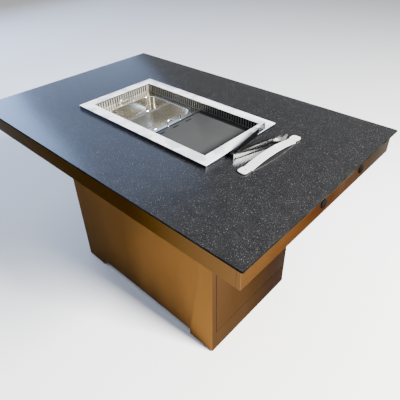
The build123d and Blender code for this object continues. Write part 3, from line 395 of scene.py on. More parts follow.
@dataclass(frozen=True)
class SpeckledStone:
    """Polished black stone with pale flecks of several sizes."""

    name: str = "speckled_stone"
    ground: Colour = (0.0035, 0.0036, 0.004)
    patch: Colour = (0.0065, 0.0066, 0.007)
    fleck: Colour = (0.17, 0.17, 0.172)
    roughness: float = 0.23
    refraction: float = 1.6
    grit: float = 0.0015 * MM

    def flecks(self, graph: Graph, scale: float, share: float, reach: float) -> Value:
        """Scattered grains.

        Args:
            graph: The material's tree.
            scale: How many cells a metre holds.
            share: The part of the cells that hold a grain.
            reach: A grain's size as a part of its cell.

        Returns:
            The brightness of the grains.
        """
        grain = 1 - graph.cells(scale).ease(reach * 0.45, reach)
        luck = graph.number(graph.cells(scale, "Color"))
        return grain * luck.ease(1 - share, 1.0)

    def make(self) -> Material:
        """Build the material.

        Returns:
            The material.
        """
        graph = Graph(self.name)
        clouds = graph.noise(graph.place, 30.0, 4.0)
        sand = graph.noise(graph.place, 620.0, 2.0)
        ground = graph.blend(clouds.ease(0.3, 0.75), self.ground, self.patch)
        large = self.flecks(graph, 420.0, 0.11, 0.4)
        small = self.flecks(graph, 850.0, 0.33, 0.5)
        dust = self.flecks(graph, 1600.0, 0.4, 0.6)
        light = (large * 0.9 + small * 0.45 + dust * 0.3).least(1.0) * (0.55 + sand * 0.6)
        colour = graph.blend(light.least(1.0), ground, self.fleck)
        rough = self.roughness + (clouds - 0.5) * 0.05 + light * 0.12
        return graph.finish(colour, rough, sand, self.grit, IOR=self.refraction)


@dataclass(frozen=True)
class PolishedSteel:
    """Drawn steel, nearly a mirror, with fine swirls and a warm cast from use."""

    name: str
    tone: Colour
    roughness: float = 0.14
    swirl: float = 0.03
    waviness: float = 0.004 * MM
    warmth: Colour = (0.86, 0.78, 0.62)

    def make(self) -> Material:
        """Build the material.

        Returns:
            The material.
        """
        graph = Graph(self.name)
        broad = graph.noise(graph.place, 9.0, 1.0)
        swirls = graph.noise(graph.mapped((70.0, 520.0, 130.0), (0.3, 0.2, 0.6)), detail=4.0)
        stain = graph.noise(graph.place, 42.0, 5.0).ease(0.55, 0.8)
        warm = [c * share for c, share in zip(self.tone, self.warmth)]
        colour = graph.blend(stain * 0.05 + broad * 0.25, self.tone, warm)
        rough = (swirls - 0.5) * self.swirl + stain * 0.02 + self.roughness
        return graph.finish(colour, rough, broad, self.waviness, Metallic=1.0)


@dataclass(frozen=True)
class CookingCoat:
    """Matt coating of a griddle, paler on its flat top, with painted shade on its border."""

    flat_low: Point
    flat_high: Point
    name: str = "cooking_coat"
    flat: Colour = (0.04, 0.041, 0.04)
    painted_border_shade: Colour = (0.004, 0.004, 0.004)
    edge: float = 2.5 * MM
    ragged: float = 2.0 * MM
    roughness: float = 0.5
    metallic: float = 0.15
    shine: float = 0.1
    depth: float = 0.06 * MM

    def make(self) -> Material:
        """Build the material.

        Returns:
            The material.
        """
        graph = Graph(self.name)
        x, y, _ = graph.axes()
        # Painted shade: the colour falls to near-black over a ragged band round the flat top.
        inside = (x - self.flat_low[0]).least(self.flat_high[0] - x)
        inside = inside.least(y - self.flat_low[1]).least(self.flat_high[1] - y)
        torn = (graph.noise(graph.place, 160.0) - 0.5) * self.ragged
        unshaded_top = (inside + torn).ease(-self.edge, self.edge)
        grit = graph.noise(graph.place, 2400.0, 2.0)
        clouds = graph.noise(graph.place, 14.0, 4.0)
        streaks = graph.noise(graph.mapped((24.0, 420.0, 24.0)), detail=3.0)
        light = clouds * 0.5 + streaks * 0.3 + grit * 0.2
        top = graph.blend(light, [c * 0.72 for c in self.flat], [c * 1.28 for c in self.flat])
        colour = graph.blend(unshaded_top, self.painted_border_shade, top)
        rough = self.roughness + (clouds - 0.5) * 0.16 + (streaks - 0.5) * 0.12
        return graph.finish(
            colour, rough, grit, self.depth, Metallic=self.metallic, Specular_IOR_Level=self.shine
        )


@dataclass(frozen=True)
class PowderCoat:
    """Baked paint or moulded plastic with a fine orange-peel skin."""

    name: str
    tone: Colour
    roughness: float = 0.45
    peel: float = 700.0
    depth: float = 0.05 * MM
    metallic: float = 0.0
    shine: float = 0.5

    def make(self) -> Material:
        """Build the material.

        Returns:
            The material.
        """
        graph = Graph(self.name)
        peel = graph.noise(graph.place, self.peel, 2.0)
        dust = graph.noise(graph.place, 22.0, 5.0)
        light = dust.ease(0.3, 0.8)
        pale = [c * 1.25 + 0.01 for c in self.tone]
        colour = graph.blend(light, self.tone, pale)
        rough = self.roughness + (dust - 0.5) * 0.2
        return graph.finish(
            colour, rough, peel, self.depth, Metallic=self.metallic, Specular_IOR_Level=self.shine
        )


@dataclass(frozen=True)
class Galvanised:
    """Zinc-coated sheet with its spangle of crystals."""

    name: str = "galvanised_sheet"
    tone: Colour = (0.46, 0.48, 0.5)
    roughness: float = 0.36
    metallic: float = 0.95
    depth: float = 0.02 * MM

    def make(self) -> Material:
        """Build the material.

        Returns:
            The material.
        """
        graph = Graph(self.name)
        crystal = graph.number(graph.cells(90.0, "Color"))
        clouds = graph.noise(graph.place, 8.0, 4.0)
        light = crystal * 0.7 + clouds * 0.3
        colour = graph.blend(light, [c * 0.72 for c in self.tone], [c * 1.2 for c in self.tone])
        rough = self.roughness + crystal * 0.16 + (clouds - 0.5) * 0.1
        return graph.finish(colour, rough, crystal, self.depth, Metallic=self.metallic)


@dataclass(frozen=True)
class FilterFelt:
    """Pressed fibre of an air filter."""

    name: str = "filter_felt"
    tone: Colour = (0.66, 0.64, 0.57)
    fibre: Colour = (0.85, 0.83, 0.77)
    roughness: float = 0.92
    depth: float = 0.3 * MM

    def make(self) -> Material:
        """Build the material.

        Returns:
            The material.
        """
        graph = Graph(self.name)
        fibres = graph.noise(graph.mapped((900.0, 140.0, 900.0)), detail=4.0)
        soot = graph.noise(graph.place, 26.0, 4.0).ease(0.4, 0.85)
        colour = graph.blend(soot * 0.55, self.tone, [c * 0.45 for c in self.tone])
        light = graph.blend(fibres * 0.3, colour, self.fibre)
        return graph.finish(light, self.roughness, fibres, self.depth)


@dataclass(frozen=True)
class PlainFloor:
    """Pale matt floor of the studio."""

    name: str = "studio_floor"
    tone: Colour = (0.93, 0.93, 0.92)
    roughness: float = 0.8

    def make(self) -> Material:
        """Build the material.

        Returns:
            The material.
        """
        graph = Graph(self.name)
        return graph.finish(self.tone, self.roughness)


class Finishes:
    """Every material of the table, made once."""

    def __init__(self) -> None:
        """Make the materials."""
        self.metals()
        self.bronzes()
        self.coats()
        self.stone = SpeckledStone().make()
        self.zinc = Galvanised().make()
        # Painted shade: a near-black sheet for the well, which shows only through the grille slots.
        self.well_shade = Galvanised("well_painted_shade", (0.01, 0.0095, 0.0085)).make()
        self.felt = FilterFelt().make()
        self.floor = PlainFloor().make()

    def metals(self) -> None:
        """Make the plain steels."""
        steel, white = (0.8, 0.8, 0.8), (0.95, 0.95, 0.95)
        lands, painted_side_shade = (0.2, 0.194, 0.17), (0.08, 0.085, 0.1)
        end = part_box("rim_frame")[1]
        # The rim's strong clouds paint bluish-grey reflections into its colour.
        self.rim = MitredSteel(
            "rim_steel", white, Way.X, 0.42, cloud=0.9, metallic=0.3, mitre_start=end.x - end.y
        ).make()
        # Painted shade: the rim's upright faces take a dark, bluish copy of its steel.
        self.side = BrushedMetal("rim_side", painted_side_shade, Way.X, 0.35).make()
        self.satin = BrushedMetal("satin_steel", white, Way.Y, 0.4, metallic=0.25).make()
        self.steel_x = BrushedMetal("steel_along_x", steel, Way.X).make()
        self.steel_y = BrushedMetal("steel_along_y", steel, Way.Y).make()
        self.slats = BrushedMetal("slat_steel", lands, Way.Z, 0.5, metallic=0.5).make()
        self.bright = PolishedSteel("tool_steel", (0.12, 0.123, 0.126), 0.22, 0.05).make()
        self.pan = PolishedSteel("pan_steel", (0.86, 0.84, 0.78)).make()
        self.bar = PolishedSteel("handle_steel", (0.78, 0.77, 0.73), 0.18).make()

    def bronzes(self) -> None:
        """Make the bronze sheets: copies of one bronze whose tones and gradients paint light and
        shade for the way that each faces.
        """
        # The long aprons: painted shade darkens them to the left of x = 0.2 m, full colour from 0.6
        # m.
        fold = BronzeSheet(
            "bronze_along_x", (0.085, 0.045, 0.018), Way.X, 0.27,
            rim_tint=(0.5, 0.48, 0.45), brightness_in_painted_shade=0.2, pale=(0.6, 0.0), dark=(0.2, 0.0),
        )
        # The end aprons: a lighter copy, with painted shade darkening the left end.
        end = BronzeSheet(
            "bronze_along_y", (0.12, 0.07, 0.041), Way.Y, 0.27, rim_tint=(0.22, 0.27, 0.28)
        )
        # The cabinet's upright panels: painted shade darkens them to the left, and the strong
        # smears paint blotchy reflections as well as uneven tone.
        wall = BronzeSheet("bronze_upright", (0.105, 0.049, 0.0145), Way.Z, 0.42, cloud=0.9)
        # The door and the end panels: a darker copy, whose painted shade deepens towards the rear.
        door = BronzeSheet(
            "bronze_door_painted_shade", (0.058, 0.033, 0.018), Way.Z,
            rim_tint=(0.465, 0.445, 0.43), brightness_in_painted_shade=0.22, pale=(0.37, -0.24), dark=(0.37, 0.22),
        )
        self.bronze_x, self.bronze_y, self.bronze_z = fold.make(), end.make(), wall.make()
        self.shaded_bronze_z = door.make()
        self.shaded_bronze_y = replace(door, name="bronze_end_painted_shade", way=Way.Y).make()

    def coats(self) -> None:
        """Make the paints, the plastics and the griddle's coating."""
        low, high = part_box("griddle_plate")
        near_margin = Vector((12.5, 29.0, 0.0)) * MM
        far_margin = Vector((10.0, 29.0, 0.0)) * MM
        self.coat = CookingCoat(low + near_margin, high - far_margin).make()
        smooth = {"peel": 300.0, "depth": 0.01 * MM, "shine": 0.0}
        # Painted shade: near-black for the griddle's lip walls and drain slots.
        self.griddle_shade = PowderCoat("griddle_painted_shade", (0.003, 0.003, 0.003), 0.6, shine=0.0).make()
        self.gloss = PowderCoat("button_satin", (0.002, 0.0015, 0.002), 0.5, **smooth).make()
        self.ring = PowderCoat("ring_black", (0.004, 0.003, 0.003), 0.5, **smooth).make()
        # Painted shade: a near-black finish without flecks for the slab's sides and rounded edges.
        stone_edge = PowderCoat("stone_edge", (0.004, 0.0036, 0.0032), 0.55, **smooth)
        self.edge = replace(stone_edge, peel=900.0).make()
        self.frame_paint = PowderCoat("frame_paint", (0.035, 0.035, 0.038), 0.5).make()
        self.motor_paint = PowderCoat("motor_enamel", (0.012, 0.012, 0.014), 0.35).make()
        self.nylon = PowderCoat("black_nylon", (0.012, 0.012, 0.012), 0.55, 1600.0).make()
        cast = PowderCoat("cast_heater", (0.11, 0.11, 0.115), 0.6, 260.0, 0.2 * MM, 0.7)
        tube = PowderCoat("oxide_tube", (0.06, 0.052, 0.046), 0.5, 900.0, 0.03 * MM, 0.8)
        self.cast, self.element = cast.make(), tube.make()


# -------- mesh tools
class Form:
    """A mesh under construction, in the frame's metres."""

    def __init__(self) -> None:
        """Start with nothing."""
        self.mesh = bmesh.new()

    @classmethod
    def of_node(cls, node: str, width: float) -> "Form":
        """Copy a CAD node, merge its triangles into whole faces and round its sharp edges.

        Args:
            node: The node's name.
            width: The rounding's width.

        Returns:
            The new form.
        """
        form = cls()
        mesh = form.mesh
        mesh.from_mesh(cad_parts[node].data)
        bmesh.ops.remove_doubles(mesh, verts=mesh.verts, dist=MERGE)
        bmesh.ops.dissolve_limit(mesh, angle_limit=FLAT_TURN, verts=mesh.verts, edges=mesh.edges)
        sharp = [e for e in mesh.edges if e.is_manifold and e.calc_face_angle() > SHARP_TURN]
        form.bevel(sharp, width)
        return form

    @staticmethod
    def loop(ring: Iterable[Vertex]) -> List[Edge]:
        """The edges that join the vertices of a ring."""
        return list({e for v in ring for e in v.link_edges if all(w in ring for w in e.verts)})

    def bevel(self, edges: Iterable[Edge], width: float) -> None:
        """Round some edges by a width."""
        bmesh.ops.bevel(
            self.mesh, geom=list(edges), offset=width, offset_type="OFFSET", segments=EDGE_STEPS,
            profile=0.5, affect="EDGES", material=-1, clamp_overlap=True,
        )

    def block(self, low: Point, high: Point, edge: float) -> None:
        """Add a box with rounded edges.

        Args:
            low: Its lowest corner.
            high: Its highest corner.
            edge: The width of its rounded edges.
        """
        made = bmesh.ops.create_cube(self.mesh, size=1.0)["verts"]
        low, high = Vector(low), Vector(high)
        bmesh.ops.scale(self.mesh, verts=made, vec=high - low)
        bmesh.ops.translate(self.mesh, verts=made, vec=(low + high) / 2)
        self.bevel({e for v in made for e in v.link_edges}, edge)

    def lathe(self, middle: Point, profile: Sequence[Tuple[float, float]], steps: int = 32) -> None:
        """Turn a profile about an upright axis.

        Args:
            middle: A point on the axis.
            profile: Radius and height of each point. An end that isn't on the axis
                leaves a round hole.
            steps: How many strips the turn has.
        """
        middle = Vector(middle)
        points = [self.mesh.verts.new(middle + Vector((r, 0, h))) for r, h in profile]
        chain = [self.mesh.edges.new(pair) for pair in zip(points, points[1:])]
        before = set(self.mesh.verts) - set(points)
        bmesh.ops.spin(
            self.mesh, geom=points + chain, cent=middle, axis=(0, 0, 1), angle=2 * math.pi,
            steps=steps, use_merge=True,
        )
        made = [v for v in self.mesh.verts if v not in before]
        bmesh.ops.remove_doubles(self.mesh, verts=made, dist=MERGE / 2)

    def pipe(
        self, points: Sequence[Point], radius: float, bend: float, sides: int = 14, steps: int = 6
    ) -> None:
        """Bend a round bar along straight runs joined by arcs.

        Args:
            points: The corners of the path, with its two ends.
            radius: The bar's radius.
            bend: The radius of each bend, at the bar's middle.
            sides: The number of faces round the bar.
            steps: The number of strips along a bend.
        """
        path = [Vector(p) for p in points]
        heading = (path[1] - path[0]).normalized()
        matrix = Matrix.Translation(path[0]) @ heading.to_track_quat("Z", "Y").to_matrix().to_4x4()
        ring = bmesh.ops.create_circle(
            self.mesh, cap_ends=True, segments=sides, radius=radius, matrix=matrix
        )["verts"]
        cap = next(f for f in self.mesh.faces if set(f.verts) == set(ring))
        at = path[0]
        for before, corner, after in zip(path, path[1:], path[2:] + [None]):
            ahead = (corner - before).normalized()
            stop = corner
            if after is not None:
                leave = (after - corner).normalized()
                turn = ahead.angle(leave)
                stop = corner - ahead * bend * math.tan(turn / 2)
            made = bmesh.ops.extrude_edge_only(self.mesh, edges=self.loop(ring))["geom"]
            ring = [g for g in made if isinstance(g, Vertex)]
            bmesh.ops.translate(self.mesh, verts=ring, vec=stop - at)
            at = stop
            if after is not None:
                hinge = ahead.cross(leave).normalized()
                centre = stop + hinge.cross(ahead) * bend
                last = bmesh.ops.spin(
                    self.mesh, geom=ring + self.loop(ring), cent=centre, axis=hinge, angle=turn,
                    steps=steps,
                )["geom_last"]
                ring = [g for g in last if isinstance(g, Vertex)]
                at = corner + leave * bend * math.tan(turn / 2)
        bmesh.ops.contextual_create(self.mesh, geom=self.loop(ring))
        cap.normal_flip()

    def outline(self, middle: Point, size: Point, corner: float, steps: int = 8) -> Face:
        """Add a level rectangle with round corners.

        Args:
            middle: Its middle.
            size: Its length and width.
            corner: The radius of its corners.
            steps: The number of edges round a corner.

        Returns:
            Its one face.
        """
        made = bmesh.ops.create_grid(self.mesh, x_segments=1, y_segments=1, size=0.5)["verts"]
        bmesh.ops.scale(self.mesh, verts=made, vec=(size[0], size[1], 1.0))
        bmesh.ops.translate(self.mesh, verts=made, vec=middle)
        rounded = bmesh.ops.bevel(
            self.mesh, geom=made, offset=corner, offset_type="OFFSET", segments=steps,
            profile=0.5, affect="VERTICES", material=-1,
        )
        faces = {f for v in rounded["verts"] for f in v.link_faces}
        return faces.pop()

    def skin(self, faces: Sequence[Face]) -> None:
        """Join a row of outlines into one surface.

        Args:
            faces: The outlines, of which only the last stays as a face.
        """
        rims = [list(face.edges) for face in faces]
        bmesh.ops.delete(self.mesh, geom=list(faces[:-1]), context="FACES_ONLY")
        for first, second in zip(rims, rims[1:]):
            bmesh.ops.bridge_loops(self.mesh, edges=first + second)

    def thicken(self, sheet: float) -> None:
        """Give an open surface the thickness of its sheet, behind its faces."""
        bmesh.ops.recalc_face_normals(self.mesh, faces=self.mesh.faces)
        bmesh.ops.solidify(self.mesh, geom=list(self.mesh.faces), thickness=sheet)

    def piece(
        self, name: str, body: Body, finish: Material, slot: str, replaces: Sequence[str] = (),
        smooth: float = 30.0, recalculate: bool = True,
    ) -> bpy.types.Object:
        """Turn the form into a piece of the table.

        Args:
            name: The piece's name.
            body: The body that it rides on.
            finish: Its material.
            slot: The record's slot of its finish; not used.
            replaces: CAD nodes that it stands for.
            smooth: Edges that turn less than this, in degrees, are shaded smooth.
            recalculate: Whether the faces are turned outwards first.

        Returns:
            The object.
        """
        if recalculate:
            bmesh.ops.recalc_face_normals(self.mesh, faces=self.mesh.faces)
        data = bpy.data.meshes.new(name)
        self.mesh.to_mesh(data)
        self.mesh.free()
        data.shade_smooth()
        data.set_sharp_from_angle(angle=math.radians(smooth))
        data.materials.append(finish)
        item = bpy.data.objects.new(name, data)
        bpy.context.scene.collection.objects.link(item)
        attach(item, body.value)
        if replaces:
            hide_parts(*replaces)
        log.info("%s: %d faces on %s", name, len(data.polygons), body.value)
        return item


def dress(finish: Material, *nodes: str) -> None:
    """Give CAD nodes a finish in their own material slots.

    Args:
        finish: The material.
        nodes: The nodes' names.
    """
    for node in nodes:
        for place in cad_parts[node].material_slots:
            place.material = finish
        log.info("%s dressed in %s", node, finish.name)


def ease(
    node: str, body: Body, finish: Material, slot: str, width: float,
    other: Optional[Material] = None, faces: Callable[[Vector], bool] = lambda normal: False,
) -> None:
    """Stand a copy of a node with rounded edges in its place.

    Args:
        node: The CAD node.
        body: The body that it belongs to.
        finish: Its material.
        slot: The record's slot of the finish.
        width: The width of the rounded edges.
        other: A second material, if the node has one.
        faces: Tells from a face's normal whether it takes the second material.
    """
    form = Form.of_node(node, width)
    for face in form.mesh.faces:
        face.material_index = int(faces(face.normal))
    item = form.piece(f"{node}_eased", body, finish, slot, (node,), 20.0, recalculate=False)
    if other is not None:
        item.data.materials.append(other)


# -------- table top
@dataclass
class TableTop:
    """The stone slab, its bronze apron and the frame of square tube."""

    finishes: Finishes
    stone_edge: float = 0.4 * MM
    fold: float = 0.4 * MM
    top_cosine: float = 0.985
    side_cosine: float = 0.7

    def build(self) -> None:
        """Dress the slab, the apron and the rails."""
        stone, edge = self.finishes.stone, self.finishes.edge
        long, short = self.finishes.bronze_x, self.finishes.bronze_y
        # The slab's sides and rounded edges take the edge finish of painted shade.
        ease("stone_top", Body.ROOT, stone, "stone", self.stone_edge, edge, self.off_top)
        for node in ("apron_front", "apron_rear"):
            ease(node, Body.ROOT, long, "bronze", self.fold)
        for node in ("apron_left", "apron_right"):
            ease(node, Body.ROOT, short, "bronze", self.fold, long, self.along_table)
        dress(self.finishes.frame_paint, "long_rails", "end_rails", "cross_rails")

    def off_top(self, normal: Vector) -> bool:
        """Whether a face of the slab isn't part of its polished top."""
        return normal.z < self.top_cosine

    def along_table(self, normal: Vector) -> bool:
        """Whether a face of an end apron lies in line with the long aprons."""
        return abs(normal.y) > self.side_cosine


# -------- cooking unit
@dataclass
class CookingUnit:
    """The rim, the slotted air intakes, the ledge and the well below them."""

    finishes: Finishes
    rim_edge: float = 0.35 * MM
    upright_sine: float = 0.3

    def build(self) -> None:
        """Dress the rim and everything that stands still in the well."""
        rim, side = self.finishes.rim, self.finishes.side
        # The rim's upright faces take the dark copy of painted shade.
        ease("rim_frame", Body.ROOT, rim, "steel", self.rim_edge, side, self.upright)
        dress(self.finishes.slats, "grille_front", "grille_rear", "grille_left", "grille_right")
        dress(self.finishes.steel_x, "ledge_frame")
        # The well takes the near-black sheet of painted shade.
        dress(self.finishes.well_shade, "well_tub")
        fittings = ("ledge_brackets", "tub_clamps", "clamp_screws")
        dress(self.finishes.zinc, *fittings, "heater_cradles", "griddle_heater_tray")
        dress(self.finishes.cast, "pan_heater")
        dress(self.finishes.element, "griddle_heater")
        dress(self.finishes.steel_y, "drip_tray")

    def upright(self, normal: Vector) -> bool:
        """Whether a face of the rim stands upright."""
        return abs(normal.z) < self.upright_sine


@dataclass
class DividedPan:
    """The pressed pan with its beaded edge, its divider and two lifting bars."""

    finishes: Finishes
    flange_left: float = 35.5 * MM
    flange_right: float = 18.0 * MM
    flange_side: float = 27.0 * MM
    flange_corner: float = 4.0 * MM
    corner: float = 34.0 * MM
    bead: float = 4.0 * MM
    bead_height: float = 1.8 * MM
    sheet: float = 1.2 * MM
    draft: float = math.radians(2.0)
    floor_radius: float = 12.0 * MM
    bead_steps: int = 8
    wall_steps: Tuple[float, ...] = (0.02, 0.35, 0.7, 1.0)
    floor_steps: int = 6
    divider_edge: float = 0.1 * MM
    bar_radius: float = 2.5 * MM
    bar_bend: float = 6.0 * MM
    weld_radius: float = 3.9 * MM
    weld_foot: float = 0.3 * MM
    weld_height: float = 1.9 * MM

    def build(self) -> None:
        """Press the basin, bend the bars and dress the divider."""
        self.basin()
        self.bars()
        ease("pan_divider", Body.PAN, self.finishes.pan, "pan_steel", self.divider_edge)

    def basin(self) -> None:
        """Press the basin from one sheet, from the flange over the bead to the floor."""
        low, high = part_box("pan_basin")
        form = Form()
        level = high.z - self.bead_height
        left, right = low.x + self.flange_left, high.x - self.flange_right
        side = high.y - self.flange_side
        middle = Vector(((left + right) / 2, 0, 0))
        flange_middle = Vector(((low.x + high.x) / 2, 0, level))
        rings = [form.outline(flange_middle, (high.x - low.x, high.y - low.y), self.flange_corner)]

        def ring(grow: float, z: float) -> None:
            """Add the basin's outline, grown outwards, at a height."""
            size = (right - left + 2 * grow, 2 * side + 2 * grow)
            rings.append(form.outline(middle + Vector((0, 0, z)), size, self.corner + grow))

        radius = self.bead / 2
        for step in range(self.bead_steps + 1):
            turn = math.pi * step / self.bead_steps
            ring(radius + radius * math.cos(turn), level + self.bead_height * math.sin(turn))
        under = low.z + self.sheet
        lean = math.tan(self.draft)
        foot = under + self.floor_radius
        for share in self.wall_steps:
            z = level + (foot - level) * share
            ring((z - level) * lean, z)
        inset = (foot - level) * lean
        for step in range(1, self.floor_steps + 1):
            turn = math.pi / 2 * step / self.floor_steps
            grow = inset - self.floor_radius * (1 - math.cos(turn))
            ring(grow, foot - self.floor_radius * math.sin(turn))
        form.skin(rings)
        form.thicken(self.sheet)
        form.piece("pan_pressing", Body.PAN, self.finishes.pan, "pan_steel", ("pan_basin",), 40.0)

    def bars(self) -> None:
        """Bend the two lifting bars and weld their feet to the flange."""
        low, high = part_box("pan_handles")
        reach, top = high.y - self.bar_radius, high.z - self.bar_radius
        foot, neck = (self.weld_radius, self.weld_foot), (self.bar_radius, self.weld_height)
        weld = ((self.weld_radius, 0), foot, neck)
        form = Form()
        for x in (low.x + self.bar_radius, high.x - self.bar_radius):
            corners = ((x, -reach, low.z), (x, -reach, top), (x, reach, top), (x, reach, low.z))
            form.pipe(corners, self.bar_radius, self.bar_bend)
            for y in (-reach, reach):
                form.lathe((x, y, low.z), weld, steps=20)
        form.piece("pan_bars", Body.PAN, self.finishes.bar, "pan_steel", ("pan_handles",), 45.0)


@dataclass
class Griddle:
    """The coated plate that drops in beside the pan."""

    finishes: Finishes
    edge: float = 0.9 * MM
    top_cosine: float = 0.5

    def build(self) -> None:
        """Round the plate's edges and paint shade, near-black, on what isn't its top."""
        coat, griddle_shade = self.finishes.coat, self.finishes.griddle_shade
        ease("griddle_plate", Body.GRIDDLE, coat, "griddle_coat", self.edge, griddle_shade, self.off_top)

    def off_top(self, normal: Vector) -> bool:
        """Whether a face isn't part of the cooking surface, such as a drain's wall."""
        return normal.z < self.top_cosine


# -------- cabinet
@dataclass
class Cabinet:
    """The bronze pedestal with its door, base and feet."""

    finishes: Finishes
    fold: float = 0.4 * MM
    end_cosine: float = 0.7
    pad_radius: float = 15.0 * MM
    pad_height: float = 4.0 * MM
    pad_edge: float = 1.0 * MM
    nut_radius: float = 9.0 * MM
    nut_height: float = 3.0 * MM
    stem_radius: float = 5.0 * MM

    def build(self) -> None:
        """Dress the panels and the door, and turn the glides."""
        broad, end = self.finishes.bronze_z, self.finishes.shaded_bronze_z
        # Faces that look the way the door does take the door's darker copy, which paints their
        # shade.
        for node in ("cabinet_front", "cabinet_rear", "cabinet_left"):
            ease(node, Body.ROOT, broad, "bronze", self.fold, end, self.door_side)
        # The plinth, kick and header panels take the darker copy of painted shade too.
        for node in ("plinth_panel", "kick_panel", "header_panel"):
            ease(node, Body.ROOT, self.finishes.shaded_bronze_y, "bronze", self.fold)
        ease("door_panel", Body.DOOR, self.finishes.shaded_bronze_z, "bronze", self.fold)
        dress(self.finishes.zinc, "door_striker", "base_plate")
        dress(self.finishes.frame_paint, "door_pivots", "corner_posts", "base_rails")
        dress(self.finishes.nylon, "door_catch")
        self.glides()

    def door_side(self, normal: Vector) -> bool:
        """Whether a face looks the way that the door does."""
        return normal.x > self.end_cosine

    def glides(self) -> None:
        """Turn the four levelling feet with their pads, nuts and stems."""
        low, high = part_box("glides")
        radius, pad, edge, stem = self.pad_radius, self.pad_height, self.pad_edge, self.stem_radius
        rim = ((radius - edge, 0), (radius, edge), (radius, pad - edge), (radius - edge, pad))
        profile = ((0, 0), *rim, (stem, pad), (stem, high.z), (0, high.z))
        form = Form()
        for x in (low.x + radius, high.x - radius):
            for y in (low.y + radius, high.y - radius):
                form.lathe((x, y, 0), profile)
                bmesh.ops.create_cone(
                    form.mesh, cap_ends=True, segments=6, depth=self.nut_height,
                    radius1=self.nut_radius, radius2=self.nut_radius,
                    matrix=Matrix.Translation((x, y, pad + self.nut_height / 2)),
                )
        form.piece("levelling_feet", Body.ROOT, self.finishes.nylon, "nylon", ("glides",))


# -------- ventilation
@dataclass
class Ventilation:
    """The duct, filter, blower and outlet that are hidden in the cabinet."""

    finishes: Finishes
    frame_bar: float = 12.0 * MM
    frame_edge: float = 0.8 * MM
    pleats: int = 22
    pleat_depth: float = 44.0 * MM
    felt: float = 1.0 * MM
    strap_half: float = 45.0 * MM
    strap_width: float = 18.0 * MM
    strap_proud: float = 3.0 * MM
    strap_edge: float = 1.0 * MM
    fins: int = 28
    fin_reach: float = 6.0 * MM
    fin_root: float = 1.0 * MM
    fin_thickness: float = 1.6 * MM
    fin_ends: float = 20.0 * MM
    can_edge: float = 3.0 * MM
    flange: float = 8.0 * MM
    top_gap: float = 0.3 * MM

    def build(self) -> None:
        """Dress the sheet metal, and model the cartridge and the motor."""
        zinc = ("exhaust_duct", "filter_box", "blower_housing", "impeller", "outlet_elbow")
        dress(self.finishes.zinc, *zinc)
        dress(self.finishes.frame_paint, "filter_rails")
        self.cartridge()
        self.motor()

    def cartridge(self) -> None:
        """Fold the pleated pack and put its frame and pull strap round it."""
        low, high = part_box("filter_cartridge")
        bar = self.frame_bar
        form = Form()
        for start, stop in (
            (low, (high.x, low.y + bar, high.z)),
            ((low.x, high.y - bar, low.z), high),
            ((low.x, low.y + bar, low.z), (low.x + bar, high.y - bar, high.z)),
            ((high.x - bar, low.y + bar, low.z), (high.x, high.y - bar, high.z)),
        ):
            form.block(start, stop, self.frame_edge)
        form.piece(
            "cartridge_frame", Body.FILTER, self.finishes.zinc, "galvanised", ("filter_cartridge",)
        )

        pack = Form()
        folds = 2 * self.pleats
        inner = (high - low) - Vector((2 * bar, 2 * bar, 0))
        grid = bmesh.ops.create_grid(pack.mesh, x_segments=folds, y_segments=6, size=0.5)["verts"]
        bmesh.ops.scale(pack.mesh, verts=grid, vec=(inner.x, inner.y, 1.0))
        bmesh.ops.translate(pack.mesh, verts=grid, vec=(low + high) / 2)
        crests = [v for v in grid if round((v.co.x - low.x - bar) / (inner.x / folds)) % 2]
        valleys = [v for v in grid if v not in set(crests)]
        bmesh.ops.translate(pack.mesh, verts=crests, vec=(0, 0, self.pleat_depth / 2))
        bmesh.ops.translate(pack.mesh, verts=valleys, vec=(0, 0, -self.pleat_depth / 2))
        pack.thicken(self.felt)
        pack.piece("cartridge_pleats", Body.FILTER, self.finishes.felt, "filter_media", smooth=20.0)

        strap = Form()
        middle = Vector((high.x, 0, (low.z + high.z) / 2))
        half = Vector((0, self.strap_half, self.strap_width / 2))
        proud = Vector((self.strap_proud, 0, 0))
        strap.block(middle - half, middle + half + proud, self.strap_edge)
        strap.piece("cartridge_strap", Body.FILTER, self.finishes.nylon, "nylon")

    def motor(self) -> None:
        """Turn the motor's can and stand its cooling fins round it."""
        low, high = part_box("motor")
        radius = (high.x - low.x) / 2
        can = radius - self.fin_reach
        under, top = high.z - self.flange, high.z - self.top_gap
        wall = ((can - self.can_edge, low.z), (can, low.z + self.can_edge), (can, under))
        form = Form()
        form.lathe(
            (0, 0, 0), ((0, low.z), *wall, (radius, under), (radius, top), (0, top)), steps=48
        )
        height = high.z - low.z - self.fin_ends
        size = (self.fin_reach + self.fin_root, self.fin_thickness, height)
        place = (can + self.fin_reach / 2 - self.fin_root, 0, low.z + height / 2 + self.flange)
        for index in range(self.fins):
            fin = bmesh.ops.create_cube(form.mesh, size=1.0)["verts"]
            bmesh.ops.scale(form.mesh, verts=fin, vec=size)
            bmesh.ops.translate(form.mesh, verts=fin, vec=place)
            turn = Matrix.Rotation(2 * math.pi * index / self.fins, 3, "Z")
            bmesh.ops.rotate(form.mesh, verts=fin, cent=(0, 0, 0), matrix=turn)
        form.piece("motor_can", Body.ROOT, self.finishes.motor_paint, "motor_black", ("motor",))


# -------- electrics
@dataclass
class Electrics:
    """The control box, the cable gland, the two switches and their buttons."""

    finishes: Finishes
    edge: float = 0.3 * MM

    def build(self) -> None:
        """Dress the housings, and round the rings and the buttons."""
        dress(self.finishes.zinc, "control_box")
        dress(self.finishes.nylon, "cable_gland")
        for name, body in (("pan", Body.PAN_BUTTON), ("griddle", Body.GRIDDLE_BUTTON)):
            ease(f"switch_{name}", Body.ROOT, self.finishes.ring, "switch_metal", self.edge)
            ease(f"button_{name}", body, self.finishes.gloss, "button_black", self.edge)


